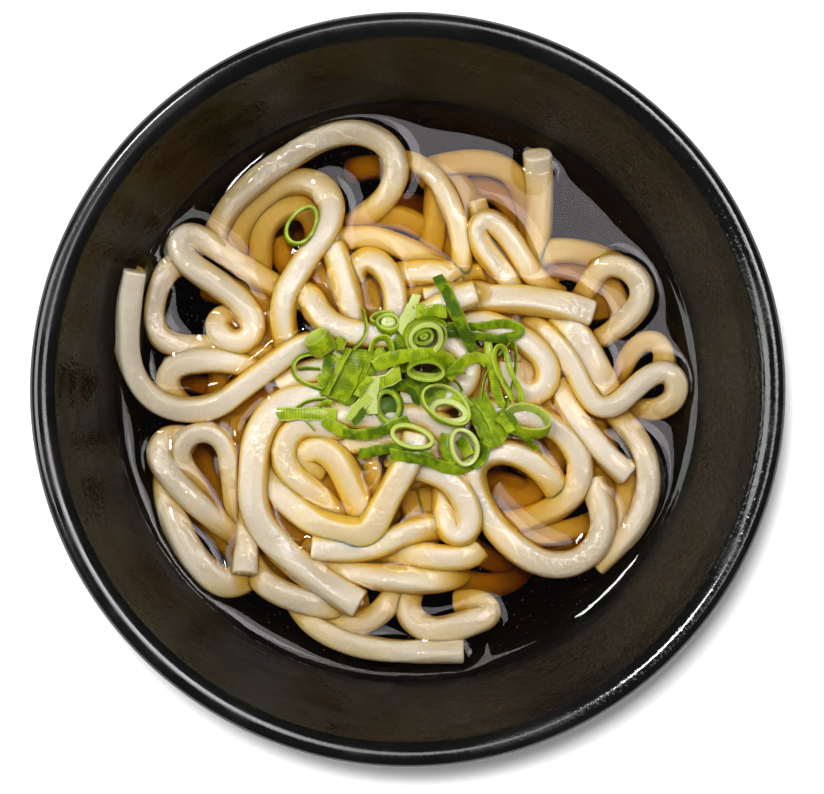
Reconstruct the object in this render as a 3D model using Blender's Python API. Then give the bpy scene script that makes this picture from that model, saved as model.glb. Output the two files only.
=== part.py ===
"""Udon noodle bowl: a black melamine bowl with its broth, its heap of noodles and its sliced green onion.

Metres, +Z up. The origin is at the middle of the foot ring's underside.
"""

import math

import bmesh
import bpy

MM = 0.001
GAP = 0.35 * MM  # between two neighbouring solids

# Bowl
RIM_RADIUS = 100 * MM
LIP_RADIUS = 2.4 * MM
LIP_HEIGHT = 72.6 * MM  # of the middle of the rounded lip
INNER_BOTTOM = 8 * MM
WALL = 4 * MM
FOOT_OUTER = 42 * MM
FOOT_INNER = 37.5 * MM
FOOT_RECESS = 3.6 * MM  # height of the base's underside
FOOT_EDGE = 0.8 * MM  # rounding of the foot's edges
BOWL_SIDES = 64

# Contents
BROTH_LEVEL = 50 * MM
BROTH_RADIUS = 78.4 * MM  # where the level meets the wall
CURVE = 2.2  # the power of radius that the inner wall's height follows
HEAP_RADIUS = 73 * MM
HEAP_FLOOR = 12 * MM  # where the heap's underside starts at the middle
HEAP_EDGE = 0.5 * MM  # how far the heap's edge stands above the broth
HEAP_RISE = 3.2 * MM  # how much higher the heap is at the middle
HEAP_SIDES = 90
HEAP_RINGS = 20
NOODLE_SPREAD = 4.6 * MM  # half the width of a noodle's back, down to its valleys
NOODLE_BACK = 2.2 * MM  # height of a noodle's back above its valleys
SEAT = 60 * MM  # height of the noodles under the green onion
SEAT_RADIUS = 37 * MM
ONION_RADIUS = 31 * MM
ONION_CENTRE = (3 * MM, 4 * MM)
ONION_THICKNESS = 3 * MM
ONION_SIDES = 40

# Noodle loops that show on top of the heap: x, y, radius and lift, in millimetres
LOOPS = (
    (-25, 50, 18, 0.5),
    (-55, 21, 14, 1.2),
    (-52, 14, 22, 1.8),
    (-56, -20, 11, 1.0),
    (-50, -40, 12, 0.6),
    (-22, -24, 13, 3.0),
    (-20, -42, 20, 2.6),
    (6, -59, 8, 0.4),
    (13, -43, 17, 2.4),
    (36, -25, 16, 2.2),
    (44, -37, 14, 1.4),
    (64, 1, 8, 1.8),
    (57, 27, 8, 1.2),
    (28, 38, 10, 1.6),
    (6, 45, 11, 1.4),
    (-12, 27, 12, 3.2),
    (34, 4, 9, 3.4),
    (8, -8, 14, 4.0),
)


def clear_scene():
    for old in list(bpy.data.objects):
        bpy.data.objects.remove(old, do_unlink=True)


def material(name, colour, roughness):
    made = bpy.data.materials.new(name)
    made.use_nodes = True
    shader = made.node_tree.nodes["Principled BSDF"]
    shader.inputs["Base Color"].default_value = (*colour, 1)
    shader.inputs["Roughness"].default_value = roughness
    shader.inputs["Metallic"].default_value = 0
    return made


def around(sides):
    return [2 * math.pi * i / sides for i in range(sides)]


def wall_height(radius):
    """Height of the bowl's inner wall at this distance from the axis."""
    return INNER_BOTTOM + (BROTH_LEVEL - INNER_BOTTOM) * (radius / BROTH_RADIUS) ** CURVE


def wall_radius(height):
    """Distance of the bowl's inner wall from the axis at this height."""
    return BROTH_RADIUS * ((height - INNER_BOTTOM) / (BROTH_LEVEL - INNER_BOTTOM)) ** (1 / CURVE)


def turned(profile, sides):
    """The rings of a profile of (radius, height) points turned about Z."""
    return [
        [(radius * math.cos(a), radius * math.sin(a), height) for a in around(sides)]
        for radius, height in profile
    ]


def lofted(name, rings, look, first_middle=None, last_middle=None):
    """A closed solid through rings of points, closed by a fan at each middle or, with none, end to end."""
    mesh = bmesh.new()
    rows = [[mesh.verts.new(point) for point in ring] for ring in rings]
    sides = len(rows[0])
    pairs = list(zip(rows, rows[1:]))
    if first_middle is None:
        pairs.append((rows[-1], rows[0]))
    for inner, outer in pairs:
        for i in range(sides):
            j = (i + 1) % sides
            mesh.faces.new((inner[i], outer[i], outer[j], inner[j]))
    if first_middle is not None:
        first = mesh.verts.new(first_middle)
        last = mesh.verts.new(last_middle)
        for i in range(sides):
            j = (i + 1) % sides
            mesh.faces.new((first, rows[0][i], rows[0][j]))
            mesh.faces.new((last, rows[-1][j], rows[-1][i]))
    bmesh.ops.recalc_face_normals(mesh, faces=mesh.faces)
    data = bpy.data.meshes.new(name)
    mesh.to_mesh(data)
    mesh.free()
    data.shade_smooth()
    data.set_sharp_from_angle(angle=math.radians(40))
    data.materials.append(look)
    made = bpy.data.objects.new(name, data)
    bpy.context.scene.collection.objects.link(made)
    return made


def outer_wall(radius):
    """(radius, height) of the bowl's outside, one wall thickness out from the inner wall."""
    slope = CURVE * (wall_height(radius) - INNER_BOTTOM) / radius
    length = math.hypot(1, slope)
    return radius + WALL * slope / length, wall_height(radius) - WALL / length


def foot_profile():
    """The foot ring from where it leaves the bowl's outside, round its edges, to the base's underside."""
    top = outer_wall(FOOT_OUTER)[1]
    return [
        (FOOT_OUTER + 3.4 * MM, top + 0.3 * MM),
        (FOOT_OUTER + 1.4 * MM, top - 1.6 * MM),
        (FOOT_OUTER + 0.6 * MM, top - 4.5 * MM),
        (FOOT_OUTER, FOOT_EDGE),
        (FOOT_OUTER - FOOT_EDGE, 0),
        (FOOT_INNER + FOOT_EDGE, 0),
        (FOOT_INNER, FOOT_EDGE),
        (FOOT_INNER - 1 * MM, FOOT_RECESS + 2.4 * MM),
        (FOOT_INNER - 5 * MM, FOOT_RECESS + 1.2 * MM),
        (18 * MM, FOOT_RECESS),
    ]


def bowl():
    lip_centre = RIM_RADIUS - LIP_RADIUS
    inner_radii = [radius * MM for radius in (14, 28, 40, 50, 59, 67, 74, 80, 85.5, 90.5)]
    inside = [(radius, wall_height(radius)) for radius in inner_radii]
    lip = [
        (lip_centre - LIP_RADIUS * math.cos(a), LIP_HEIGHT + LIP_RADIUS * math.sin(a))
        for a in (math.radians(step) for step in range(-10, 200, 30))
    ]
    outside = [outer_wall(radius * MM) for radius in (89, 82, 74, 65, 56, 48)]
    profile = inside + lip + outside + foot_profile()
    look = material("black_melamine", (0.012, 0.011, 0.009), 0.32)
    lofted("bowl", turned(profile, BOWL_SIDES), look, (0, 0, INNER_BOTTOM), (0, 0, FOOT_RECESS))


def heap_outline(angle):
    """How far the noodles reach from the axis, in this direction."""
    uneven = 1.3 * math.cos(2 * angle + 0.2) + 0.8 * math.sin(3 * angle + 0.7) + 0.5 * math.cos(7 * angle)
    return HEAP_RADIUS + uneven * MM


def noodle_relief(x, y):
    """Height of the noodles' round backs above their valleys."""
    relief = 0
    for loop_x, loop_y, radius, lift in LOOPS:
        away = abs(math.hypot(x - loop_x * MM, y - loop_y * MM) - radius * MM)
        if away < NOODLE_SPREAD:
            back = math.cos(math.pi / 2 * away / NOODLE_SPREAD) ** 2
            relief = max(relief, back * (lift * MM + NOODLE_BACK))
    return relief


def heap_top(x, y, reach):
    """Height of the noodle heap; reach runs from 0 at the middle to 1 at its edge."""
    fade = math.sqrt(max(0, 1 - reach**6))
    dome = BROTH_LEVEL + HEAP_EDGE + HEAP_RISE * (1 - reach**2)
    height = dome + fade * noodle_relief(x, y)
    from_onion = math.hypot(x - ONION_CENTRE[0], y - ONION_CENTRE[1])
    if from_onion < SEAT_RADIUS:
        height = min(height, SEAT)
    return height


def noodle_heap():
    reaches = [step / HEAP_RINGS for step in range(2, HEAP_RINGS + 1)]
    top = []
    for reach in reaches:
        ring = []
        for a in around(HEAP_SIDES):
            radius = reach * heap_outline(a)
            x = radius * math.cos(a)
            y = radius * math.sin(a)
            ring.append((x, y, heap_top(x, y, reach)))
        top.append(ring)
    under = []
    for reach in (1, 0.8, 0.55, 0.28):
        ring = []
        for a in around(HEAP_SIDES):
            radius = reach * heap_outline(a)
            height = max(wall_height(radius) + 1.2 * MM, HEAP_FLOOR)
            ring.append((radius * math.cos(a), radius * math.sin(a), height))
        under.append(ring)
    look = material("udon_noodle", (0.80, 0.68, 0.45), 0.35)
    middle = (0, 0, heap_top(0, 0, 0))
    lofted("noodle_heap", top + under, look, middle, (0, 0, HEAP_FLOOR))


def broth():
    """The broth that shows round the heap, a ring from the noodles to the wall."""
    inner = []
    outer = []
    for a in around(HEAP_SIDES):
        near = heap_outline(a) + GAP
        inner.append((a, near))
        outer.append((a, BROTH_RADIUS - GAP))
    top_inner = [(r * math.cos(a), r * math.sin(a), BROTH_LEVEL) for a, r in inner]
    top_outer = [(r * math.cos(a), r * math.sin(a), BROTH_LEVEL) for a, r in outer]
    floor_inner = [(r * math.cos(a), r * math.sin(a), wall_height(r) + GAP) for a, r in inner]
    floor_middle = []
    for a, near in inner:
        r = (near + BROTH_RADIUS - GAP) / 2
        floor_middle.append((r * math.cos(a), r * math.sin(a), wall_height(r) + GAP))
    look = material("soy_broth", (0.20, 0.07, 0.012), 0.08)
    lofted("broth", [top_inner, top_outer, floor_middle, floor_inner], look)


def onion_outline(angle):
    uneven = 3.4 * math.cos(2 * angle - 0.3) + 2.2 * math.sin(3 * angle + 1.1) + 1.3 * math.cos(6 * angle)
    return ONION_RADIUS + uneven * MM


def green_onion_heap():
    """The loose rings and strips of green onion, as one thin uneven heap on the noodles."""
    centre_x, centre_y = ONION_CENTRE
    under_height = SEAT + GAP

    def ring(reach, height_at):
        points = []
        for a in around(ONION_SIDES):
            radius = reach * onion_outline(a)
            height = height_at(a, reach)
            points.append((centre_x + radius * math.cos(a), centre_y + radius * math.sin(a), height))
        return points

    def top_height(angle, reach):
        bumps = 0.6 * math.sin(5 * angle + 9 * reach) + 0.5 * math.cos(8 * angle - 7 * reach)
        return under_height + (1 + 0.75 * (1 - reach**2)) * ONION_THICKNESS * 0.7 + bumps * reach * MM

    def under(_angle, _reach):
        return under_height

    top = [ring(reach, top_height) for reach in (0.2, 0.36, 0.52, 0.68, 0.84, 1)]
    base = [ring(reach, under) for reach in (1, 0.5)]
    look = material("green_onion", (0.16, 0.34, 0.03), 0.4)
    middle = (centre_x, centre_y, top_height(0, 0))
    lofted("green_onion_heap", top + base, look, middle, (centre_x, centre_y, under_height))


def main():
    clear_scene()
    bowl()
    noodle_heap()
    broth()
    green_onion_heap()


main()
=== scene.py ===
"""Udon noodle bowl: the looks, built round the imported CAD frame.

Sizes are millimetres until a mesh is made. Lamps, the camera and the places in a material are in metres.
"""

import math

import bpy
import numpy as np
from mathutils import Matrix, Vector


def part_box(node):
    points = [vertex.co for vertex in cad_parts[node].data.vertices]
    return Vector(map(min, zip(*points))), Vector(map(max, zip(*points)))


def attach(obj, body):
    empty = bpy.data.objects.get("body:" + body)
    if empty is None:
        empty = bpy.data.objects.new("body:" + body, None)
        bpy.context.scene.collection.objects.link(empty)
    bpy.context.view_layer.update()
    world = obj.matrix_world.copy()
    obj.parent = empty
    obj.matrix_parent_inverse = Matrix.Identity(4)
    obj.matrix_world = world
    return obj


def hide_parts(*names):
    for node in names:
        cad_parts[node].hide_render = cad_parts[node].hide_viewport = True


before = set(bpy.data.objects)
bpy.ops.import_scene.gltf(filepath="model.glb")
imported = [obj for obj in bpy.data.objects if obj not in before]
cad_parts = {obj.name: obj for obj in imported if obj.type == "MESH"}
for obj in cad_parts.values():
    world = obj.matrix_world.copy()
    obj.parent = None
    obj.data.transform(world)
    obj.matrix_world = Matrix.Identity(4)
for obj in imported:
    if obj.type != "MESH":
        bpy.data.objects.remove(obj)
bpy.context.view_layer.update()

MM = 0.001

# The bowl's own shape, as in the CAD source.
BOWL_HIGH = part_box("bowl")[1] / MM
BROTH_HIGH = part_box("broth")[1] / MM
LEVEL = BROTH_HIGH.z
RIM_HEIGHT = BOWL_HIGH.z
RIM_RADIUS = BOWL_HIGH.x
LIP_TOP = 97.3
LIP_INNER = 5.0
LIP_JOIN = 62.0
WALL_BLEND = 79.0
INNER_BOTTOM = 8.0
WALL = 4.0
BROTH_RADIUS = BROTH_HIGH.x + 0.35
CURVE = 2.2
FOOT_OUTER = 42.0
FOOT_INNER = 37.5
FOOT_RECESS = 3.6
BOWL_SIDES = 288

# The broth: the height of its open surface, how far it reaches into the bowl's wall and bottom, how far it
# climbs at the wall, how far from an edge that still shows, the film that it leaves on a noodle, the crumbs
# that drift in it, how finely its surface is divided, and how many rounds of averaging level it.
POOL = LEVEL - 1.1
WALL_OVERLAP = 1.35
BOTTOM_OVERLAP = 0.35
CLIMB = 1.7
CAPILLARY = 2.3
FILM = 0.12
SPECKS = 420
SPECK_REACH = 74
BROTH_SIDES = 480
BROTH_RINGS = 178
SURFACE_ROUNDS = 900

# Height maps: the size of a square, how far they reach from the bowl's axis, and the height of nothing.
GRID_STEP = 0.5
GRID_REACH = 82.0
NOTHING = -60.0

# The broth held in the gaps of the heap: how wide a gap, in squares either way, and how far below the
# noodles beside it the broth stands.
NARROW_GAP = 5
NARROW_DROP = 0.6
WIDE_GAP = 9
WIDE_DROP = 1.8

# How far the heap rises above the broth, as a share of the heights in the routes, and how far it sinks in.
HEAP_RISE = 0.62
HEAP_SINK = 1.35
UNDER_SINK = 1.6

# A noodle's section, the steps along it, how near its underside is to the broth if that wets it, how far
# apart two noodles that cross keep their middles, squeezed a little, and how far off the bowl's wall.
HALF_WIDTH = 3.5
HALF_HEIGHT = 3.1
NOODLE_SIDES = 24
FINE_STEP = 0.85
COARSE_STEP = 3.0
WETTED = 1.0
NOODLE_GAP = 5.3
SQUEEZE = 0.93
WALL_GAP = 3.3
SETTLE_ROUNDS = 160
SQUARENESS = 2.8
SQUARE_CUT = (
    "left_long_cut", "right_bar", "front_right_cut", "left_stub",
    "short_cut", "front_v", "left_wall", "right_inner",
)
SQUARE_CUT_SQUARENESS = 4.0

# A cut end: how wide each ring there is, as a share of the noodle, and how far in from the end it lies.
CUT_RINGS = ((0.85, 0.0), (0.95, 0.14), (1.0, 0.5))
CUT_BULGE = 0.03

# The loose curls below the noodles that show: their two layers, and how far out one turns back.
FILLER_LAYERS = (-9.5, -15.0)
FILLER_CURLS = 8
FILLER_REACH = 42
FILLER_POINTS = 24
FILLER_STRIDE = 5.5
FILLER_STEP = 1.6
FILLER_SIDES = 14

# The plain core under the heap: its top, how far it falls away there, and how far above the bowl it stays.
CORE_TOP = 33.0
CORE_FALL = 9
CORE_CLEARANCE = 1.0
CORE_SIDES = 72

# Routes of the noodles that show: x, y and height above the broth of the noodle's middle.
NOODLES = {
    "back_left_arch": (
        (-54, 39, -4.4), (-52.5, 42, -3), (-50.5, 46, -1.4), (-47.5, 50.5, -0.4), (-43, 55, 0),
        (-38, 59.3, 0.2), (-31, 64, 0.3), (-24, 68, 0), (-16, 70.2, 0), (-10, 69.3, 0.5), (-5.5, 66.7, 1),
        (-3.2, 63, 1.2), (-2.9, 59, 1.0), (-4.3, 54.7, 0.4), (-7.5, 50.8, -1.2), (-11.5, 47.7, -3.6),
        (-15.5, 45.3, -5),
    ),
    "left_hairpin": (
        (-32, 26.8, -5.2), (-38, 29.7, -4.3), (-42.4, 32.4, -4), (-46.9, 35, -3.6), (-51, 37.9, -3),
        (-54.7, 40.6, -1.8), (-58.5, 42.3, 0), (-61, 41.6, 1), (-61.8, 39, 1.3), (-60.4, 36, 1.5),
        (-57.5, 33.3, 1.6), (-53.5, 30.5, 1.8), (-49.5, 27.7, 1.6), (-45.5, 24.5, 1), (-42.8, 21, 0.4),
        (-41.6, 17.6, 0.6), (-43, 14.4, 1.6), (-46.2, 13, 2), (-49.6, 14.2, 1.2), (-51.4, 17, -0.6),
        (-50.6, 19.8, -2.6), (-48, 20.6, -4.4), (-46, 18.6, -6),
    ),
    "left_wall": (
        (-73.2, 32, 3), (-74.6, 25, 3.2), (-75.3, 18, 3.4), (-75.2, 10, 3), (-73.5, 4, 2.4),
        (-70.3, -0.7, 2), (-66, -3.7, 1.8), (-61, -5.1, 2), (-55, -5, 2.6), (-50, -3.3, 3.6),
        (-45, 0.3, 4.6), (-40, 4.1, 5.4), (-35, 8, 5.6), (-30, 11.5, 5), (-25, 13.2, 4), (-19, 12, 2),
        (-14, 9, 0),
    ),
    "left_loop": (
        (-60, 35, -4.5), (-63.5, 33.8, -2.4), (-66, 31.2, -0.6), (-68.2, 27, 0.6), (-69.1, 21, 0.9),
        (-67.8, 16, 0.9), (-64.6, 13, 0.7), (-60, 12, 0.3), (-54, 12, 0), (-48, 11.3, -2), (-42, 10, -4),
        (-36, 10, -5),
    ),
    "left_small_arch": (
        (-60, -6, -4.5), (-62.8, -2.5, -2), (-64.6, 1, -0.3), (-64.6, 4.5, 0.6), (-62, 6.9, 1.1),
        (-57, 8, 1.4), (-51, 8.2, 1.4), (-46, 7.5, 0.8), (-41, 5.7, -1.4), (-36, 3.5, -4),
    ),
    "back_left_s": (
        (-48, 33, -7), (-46.8, 37, -6), (-46, 42, -5.2), (-44.2, 46.7, -5), (-40.5, 51.3, -4.6),
        (-36, 55, -4.4), (-31, 57, -4.2), (-26.5, 56.8, -3.8), (-22.5, 54.5, -1.6), (-20.5, 50.5, 0.2),
        (-20.9, 46, 1), (-23, 41.5, 1.8), (-26.5, 36.8, 2.6), (-30, 31.5, 3.2), (-32.8, 26, 3.6),
        (-33.6, 20.5, 3.4), (-33, 15.5, 1.6), (-31, 10, -1.5),
    ),
    "back_left_inner": (
        (-41, 27, -7), (-40, 33, -6), (-39.7, 38, -5.2), (-39.2, 43, -4.8), (-36.8, 47, -4.6),
        (-33, 49.5, -4.5), (-29, 50.2, -4.6), (-26, 48.3, -5), (-24.5, 45, -5.6), (-24, 40, -7),
    ),
    "back_left_deep": ((-36, 41, -9), (-33, 36, -8), (-30, 32, -7.5), (-27, 27, -7.5)),
    "back_shallow": (
        (-24, 39, -5), (-20, 40.9, -4), (-15, 41.7, -3.2), (-9, 41.5, -3), (-4, 40, -3),
        (0.5, 38.2, -3.4),
        (5, 35.8, -4.4), (9, 33.5, -5.5),
    ),
    "inner_post": (
        (-20.3, 39.5, -2.5), (-18.9, 36, 0.8), (-17.4, 31, 2.2), (-16, 26, 3.2), (-15, 21, 3.4),
        (-14.4, 16, 1.8), (-14, 12, 0),
    ),
    "inner_arch": (
        (-14.5, 30, -2), (-13.6, 33.5, 0), (-10.8, 35.8, 1.6), (-7.3, 34.3, 2.4), (-4.8, 31, 3),
        (-3.3, 27, 3.6), (-3, 22, 3.8), (-3.6, 17, 3), (-5, 12, 1.5),
    ),
    "between_arches": ((-12, 30, -4.5), (-9.5, 26.3, -3.2), (-9, 22.5, -4.5), (-9, 18, -6.5)),
    "inner_front": (
        (-30, 24, 0), (-28.3, 26.2, 1.8), (-25.8, 24.6, 4.4), (-24.2, 21.4, 5.4), (-21.3, 18.4, 6.2),
        (-17, 16.2, 6.8), (-12, 15.2, 7), (-6, 14.7, 6.8), (0, 15, 6), (6, 15.5, 4.5), (12, 15, 3),
    ),
    "inner_island": (
        (-6, 29.5, -3), (-2.5, 31.2, -1), (1.5, 32, 0.2), (6, 32.2, 0.3), (11, 31.6, -0.5),
        (16, 31.3, -2.4), (21, 32, -4.5),
    ),
    "inner_shallow": ((-3, 23, -4), (1, 24.8, -2.4), (6, 26.4, -1.6), (11, 27.2, -1.2), (16, 27.6, -2)),
    "back_arm": (
        (-4, 62, -6), (-1, 62.8, -4.4), (2.7, 62, -3), (6, 59.5, -0.6), (9.3, 55.5, 0.8), (12, 50.5, 1.4),
        (14, 45, 1.2), (14.9, 40, 0.4), (15, 35, -1.2), (15, 30, -3),
    ),
    "back_arm_beside": (
        (9, 59.5, -9.5), (11.5, 58.4, -7), (14, 56, -5.2), (16.7, 52, -4.3), (17.6, 46, -4.5),
        (16.8, 40, -5), (16, 34, -6),
    ),
    "back_post": ((9, 57, -7), (8.2, 52, -5), (8, 47, -4.4), (7.3, 42, -4.5), (6.3, 37, -5.5)),
    "back_right_arch": (
        (3, 58, -8), (7, 60.5, -6.6), (13, 62, -4.7), (20, 62.3, -4.2), (26.5, 60.8, -4.4),
        (30.8, 56.8, -5.2), (33, 50, -7.4), (33, 43, -7.4), (31.5, 37, -6.5),
    ),
    "back_right_inner": (
        (13, 51, -10), (15.5, 54, -9.4), (20, 55.5, -8.8), (25, 53.5, -8.8), (28, 48.5, -8.8),
        (28.7, 43, -8.4), (29.5, 37, -8),
    ),
    "back_right_post": (
        (35.4, 64.5, -4.4), (36, 57, -4.4), (36.2, 50, -4.3), (35.6, 42, -4.6), (34.4, 35, -5.4),
        (33.5, 30, -6.5),
    ),
    "short_cut": ((18.8, 52, -3.4), (20, 46.5, -2.8)),
    "back_right_loop": (
        (29.5, 25, -0.5), (27.2, 30.2, 1.6), (24, 34.5, 1.9), (20.4, 39, 1.3), (18.9, 43.3, 0.4),
        (20.9, 46.4, 0.2), (24, 45.3, 0.6), (27.3, 42, 1), (30, 38, 1.2), (32.5, 34, 1.2),
        (35, 30.5, 0.6),
        (38, 27.8, -1), (41, 25, -2.5),
    ),
    "right_bar": (
        (5, 24.5, -1), (11, 25.6, 1.4), (18, 25.5, 2.8), (25, 25, 3.3), (31, 24.7, 3.6), (37, 24, 3.6),
        (43, 23, 3.3), (50.2, 21, 2.6),
    ),
    "bar_rest": ((3, 19.5, 5), (7.5, 21.9, 6.6), (12, 24, 7.6), (15.4, 25.2, 7.8), (18.7, 26.2, 7.6)),
    "curl": (
        (8, 18.6, 2.5), (13, 18.9, 3.6), (20, 18.6, 4), (25, 17.2, 4), (29.6, 14.9, 4), (34, 11.9, 4),
        (37.2, 8.3, 3.8), (38.2, 4.2, 3.4), (36.7, 0.6, 3), (33.2, -0.7, 2.6), (29.9, 0.4, 2),
        (28, 3.7, 1),
        (28, 8, -1),
    ),
    "right_shallow": ((34, 35, -6), (38, 37.6, -4.8), (44, 38.3, -4.3), (51, 37, -4.5), (57, 34, -6)),
    "right_deep": (
        (36, 30, -8), (39, 32, -7.4), (44, 33.3, -7), (49, 31, -7), (52, 26, -7.4), (52, 20, -8),
    ),
    "right_hook": (
        (46, 22, -5), (49, 27.6, -4), (51.6, 31.8, -1.6), (55, 34.2, 0.2), (60, 33, 1.2),
        (63.4, 29.2, 1.4),
        (63.6, 24.7, 1.2), (61, 20.6, 0.4), (56.6, 17, -1), (52, 14.2, -3.2),
    ),
    "right_hook_inner": ((53, 33, -6), (55.4, 28.4, -4.6), (57.4, 23.6, -4.6), (59, 17, -6)),
    "right_arch": (
        (56, -1, -6), (58.4, 4, -4.4), (60.6, 9.4, -3), (63.8, 13.2, -2), (67.6, 13.6, -1.4),
        (70, 10.7, -1.3), (70, 6, -3),
    ),
    "right_loop": (
        (31, 21.5, -2), (34, 18.8, 1), (36.8, 16.5, 2.8), (39.6, 13.7, 3.2), (42.4, 10.6, 3),
        (45, 7, 2.6),
        (46.8, 3, 2.2), (49, -1.2, 1.6), (52, -4.3, 1.6), (56.2, -4, 2.2), (61, 0, 3), (65.8, 4, 3.2),
        (70.2, 5.3, 2.6), (73, 2.6, 1.8), (72.6, -1.8, 0.4), (68.8, -4.6, -1.6), (63, -4.6, -3.4),
        (58, -3, -5), (54, -1, -6),
    ),
    "right_inner": (
        (41, 21.5, -2), (43.7, 18.4, 0.8), (46.6, 15, 2), (49, 11.3, 2), (51.1, 7.3, 1.4), (53.1, 3.4, 0),
        (55, -0.5, -2.5),
    ),
    "front_right_cut": (
        (41, 3, -2), (42.6, -2, 0.8), (46, -8, 2.6), (50.5, -13.4, 2.6), (55, -18.4, 1.8),
        (60.2, -22.8, 1.2),
    ),
    "front_right_wall": (
        (54, -3, -5), (57.4, -7, -2), (61, -11, 0), (63.8, -15.8, 1.2), (65.3, -21, 1.8),
        (65.3, -26.5, 1.8), (64.1, -31.5, 1.3), (61.5, -36.7, 0.6), (58, -41, -0.4), (54.3, -44.9, -2),
        (51.4, -47.5, -3.4),
    ),
    "front_right_ring": (
        (15, -5, -1), (20, -5.6, 1), (25, -6.1, 2.4), (30, -6.4, 2.8), (34.8, -7.3, 2.6),
        (39.6, -9.5, 2.6),
        (43.8, -13.2, 2.4), (46.6, -17.8, 0.8), (47, -22.8, -0.8), (45, -27.7, -2.8), (40.5, -31.6, -4.6),
        (35, -34.2, -5.4), (29, -35.8, -6), (23.5, -36.5, -7),
    ),
    "front_right_hairpin": (
        (43.5, -31, -7), (41.3, -27, -3), (39.2, -23.8, -0.4), (36, -20.6, 1.8), (32, -18, 3),
        (27, -16.6, 3.4), (22.4, -16.9, 3.2), (18.8, -19.2, 2.6), (17.7, -22.8, 1.6), (18.6, -27, 0.6),
        (20.7, -32, 0), (24.5, -37.6, 0), (29, -42, 0.2), (34.5, -45.7, 0.7), (40, -47.2, 1.2),
        (46, -46.3, 1.5), (50.5, -43, 1.7), (53, -38.5, 1.7), (53.3, -33, 1.4), (51.8, -28.4, 0),
        (50.5, -24, -3),
    ),
    "front_right_beside": ((51.5, -17, -6), (52.5, -22, -5), (54.2, -27, -5.4), (55.5, -33, -6)),
    "front_right_slip": ((60.4, -19, -5), (60.3, -26, -4.4), (59.2, -31, -4.4), (57, -37, -5)),
    "front_right_under": (
        (29, -42, -8), (33, -40.4, -6.8), (40, -39.2, -5.6), (47, -37.6, -5), (52, -36, -6),
    ),
    "front_bright_hairpin": (
        (-4, -17.5, 4), (-1, -19.2, 5), (4, -21, 5.4), (9, -22.8, 5.2), (13, -25.8, 4.8),
        (15.8, -30, 4.2),
        (17, -34.5, 3.6), (16, -38, 3), (13.2, -38.8, 1.6), (11.2, -36.3, 0), (10.6, -32, -1.4),
        (10.4, -28, -2.4), (10, -23, -4),
    ),
    "front_blunt": (
        (-12, -42.5, -5), (-8, -42.8, -3), (-4, -43, -1.4), (2, -44.3, 0.6), (8, -45, 1.4),
        (13.5, -45, 1.4), (17.4, -44.2, 0), (19.4, -42.4, -3),
    ),
    "front_long_end": (
        (-26, -42.5, 3), (-20, -43, 3.1), (-13, -42.7, 3), (-7, -41.3, 2.4), (-1, -38.8, 0.8),
        (5, -37, -1.8), (10, -36.5, -4), (15, -37, -6),
    ),
    "front_tan": (
        (-28, -42, -4), (-24, -45.5, -1.6), (-20, -47.8, -0.2), (-15, -49.3, 0.5), (-9, -50.3, 0.9),
        (-2, -51, 0.8), (5, -51.4, -1), (10, -51, -3), (15, -49.5, -5.4),
    ),
    "front_slip": (
        (2, -46.5, -7), (7, -48, -5.4), (12, -50, -4.6), (16, -51.6, -5.4), (20, -52.8, -8),
        (25, -52.6, -13), (29.5, -50.5, -19), (32, -47, -25),
    ),
    "front_deep": (
        (14, -40, -8), (19, -43.4, -8.6), (24, -45.6, -12), (28.5, -45.4, -18), (32.5, -43, -25),
    ),
    "front_ring": (
        (2, -51.5, -5), (0.6, -55, -3), (0.3, -59.5, -1.2), (3, -63.3, 0.2), (7.5, -64.9, 0.8),
        (13, -64.2, 1.4), (18.5, -62.2, 1.4), (22, -60.8, 0.8), (21.8, -58.6, -0.8), (18.6, -57.2, -3.4),
        (13.5, -57.6, -6.2),
    ),
    "front_left_hook": (
        (-25, -59.5, -4), (-20, -61.7, -1.8), (-14.7, -62.8, -0.8), (-10, -61.5, -0.2), (-6.5, -59, -0.4),
        (-4, -56, -1.4), (-2, -52, -4),
    ),
    "front_wall": (
        (-30, -55, -4), (-29, -58.7, -2), (-26.6, -62, -0.8), (-24, -64.2, 0.2), (-19, -66.9, 1),
        (-12.5, -69, 1.6), (-5, -70.3, 2), (3, -70.6, 2.2), (9, -70.5, 2.2), (15.3, -70.3, 2),
    ),
    "front_left_low": (
        (-42, -44, -4), (-41.3, -47.5, -2), (-38.4, -51.9, 0.2), (-34, -54.6, 0.9), (-29, -56.4, 1),
        (-24, -57.8, 0.2), (-18, -58.6, -1.6), (-12, -58.5, -4),
    ),
    "left_long_cut": (
        (-18, 0, 1), (-22, -0.9, 2.6), (-27, -1.8, 4), (-31, -2.6, 4.8), (-35, -4.8, 5.2),
        (-38.5, -9, 5.3),
        (-40.7, -14.5, 5.3), (-41.4, -21, 5.2), (-41.6, -27, 4.8), (-41, -32, 4.4), (-38.7, -37, 4),
        (-35.2, -41.6, 3.9), (-31, -45.6, 3.9), (-26, -49.6, 3.8), (-20.5, -53.4, 3.6),
        (-12.7, -57.7, 3.2),
    ),
    "left_stub": (
        (-41, -31, -3), (-42.3, -36, -0.6), (-43, -41, 1.2), (-43.6, -45, 2.2), (-43.9, -49.6, 2.6),
    ),
    "left_front_arc": (
        (-64, -21, -4), (-65.2, -25.5, -2.2), (-64.8, -29.5, -1), (-63, -34.5, 0.2), (-60.7, -40, 1),
        (-57.6, -45, 1.6), (-53.5, -49.5, 1.8), (-49, -52, 1.4), (-44.8, -51, -0.6), (-42, -47.5, -3.4),
    ),
    "left_slope": (
        (-57, -14, -3), (-60.5, -12.4, -0.8), (-64.2, -12.4, 0.6), (-66.8, -15, 1.4), (-66.8, -18.5, 1.9),
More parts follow.
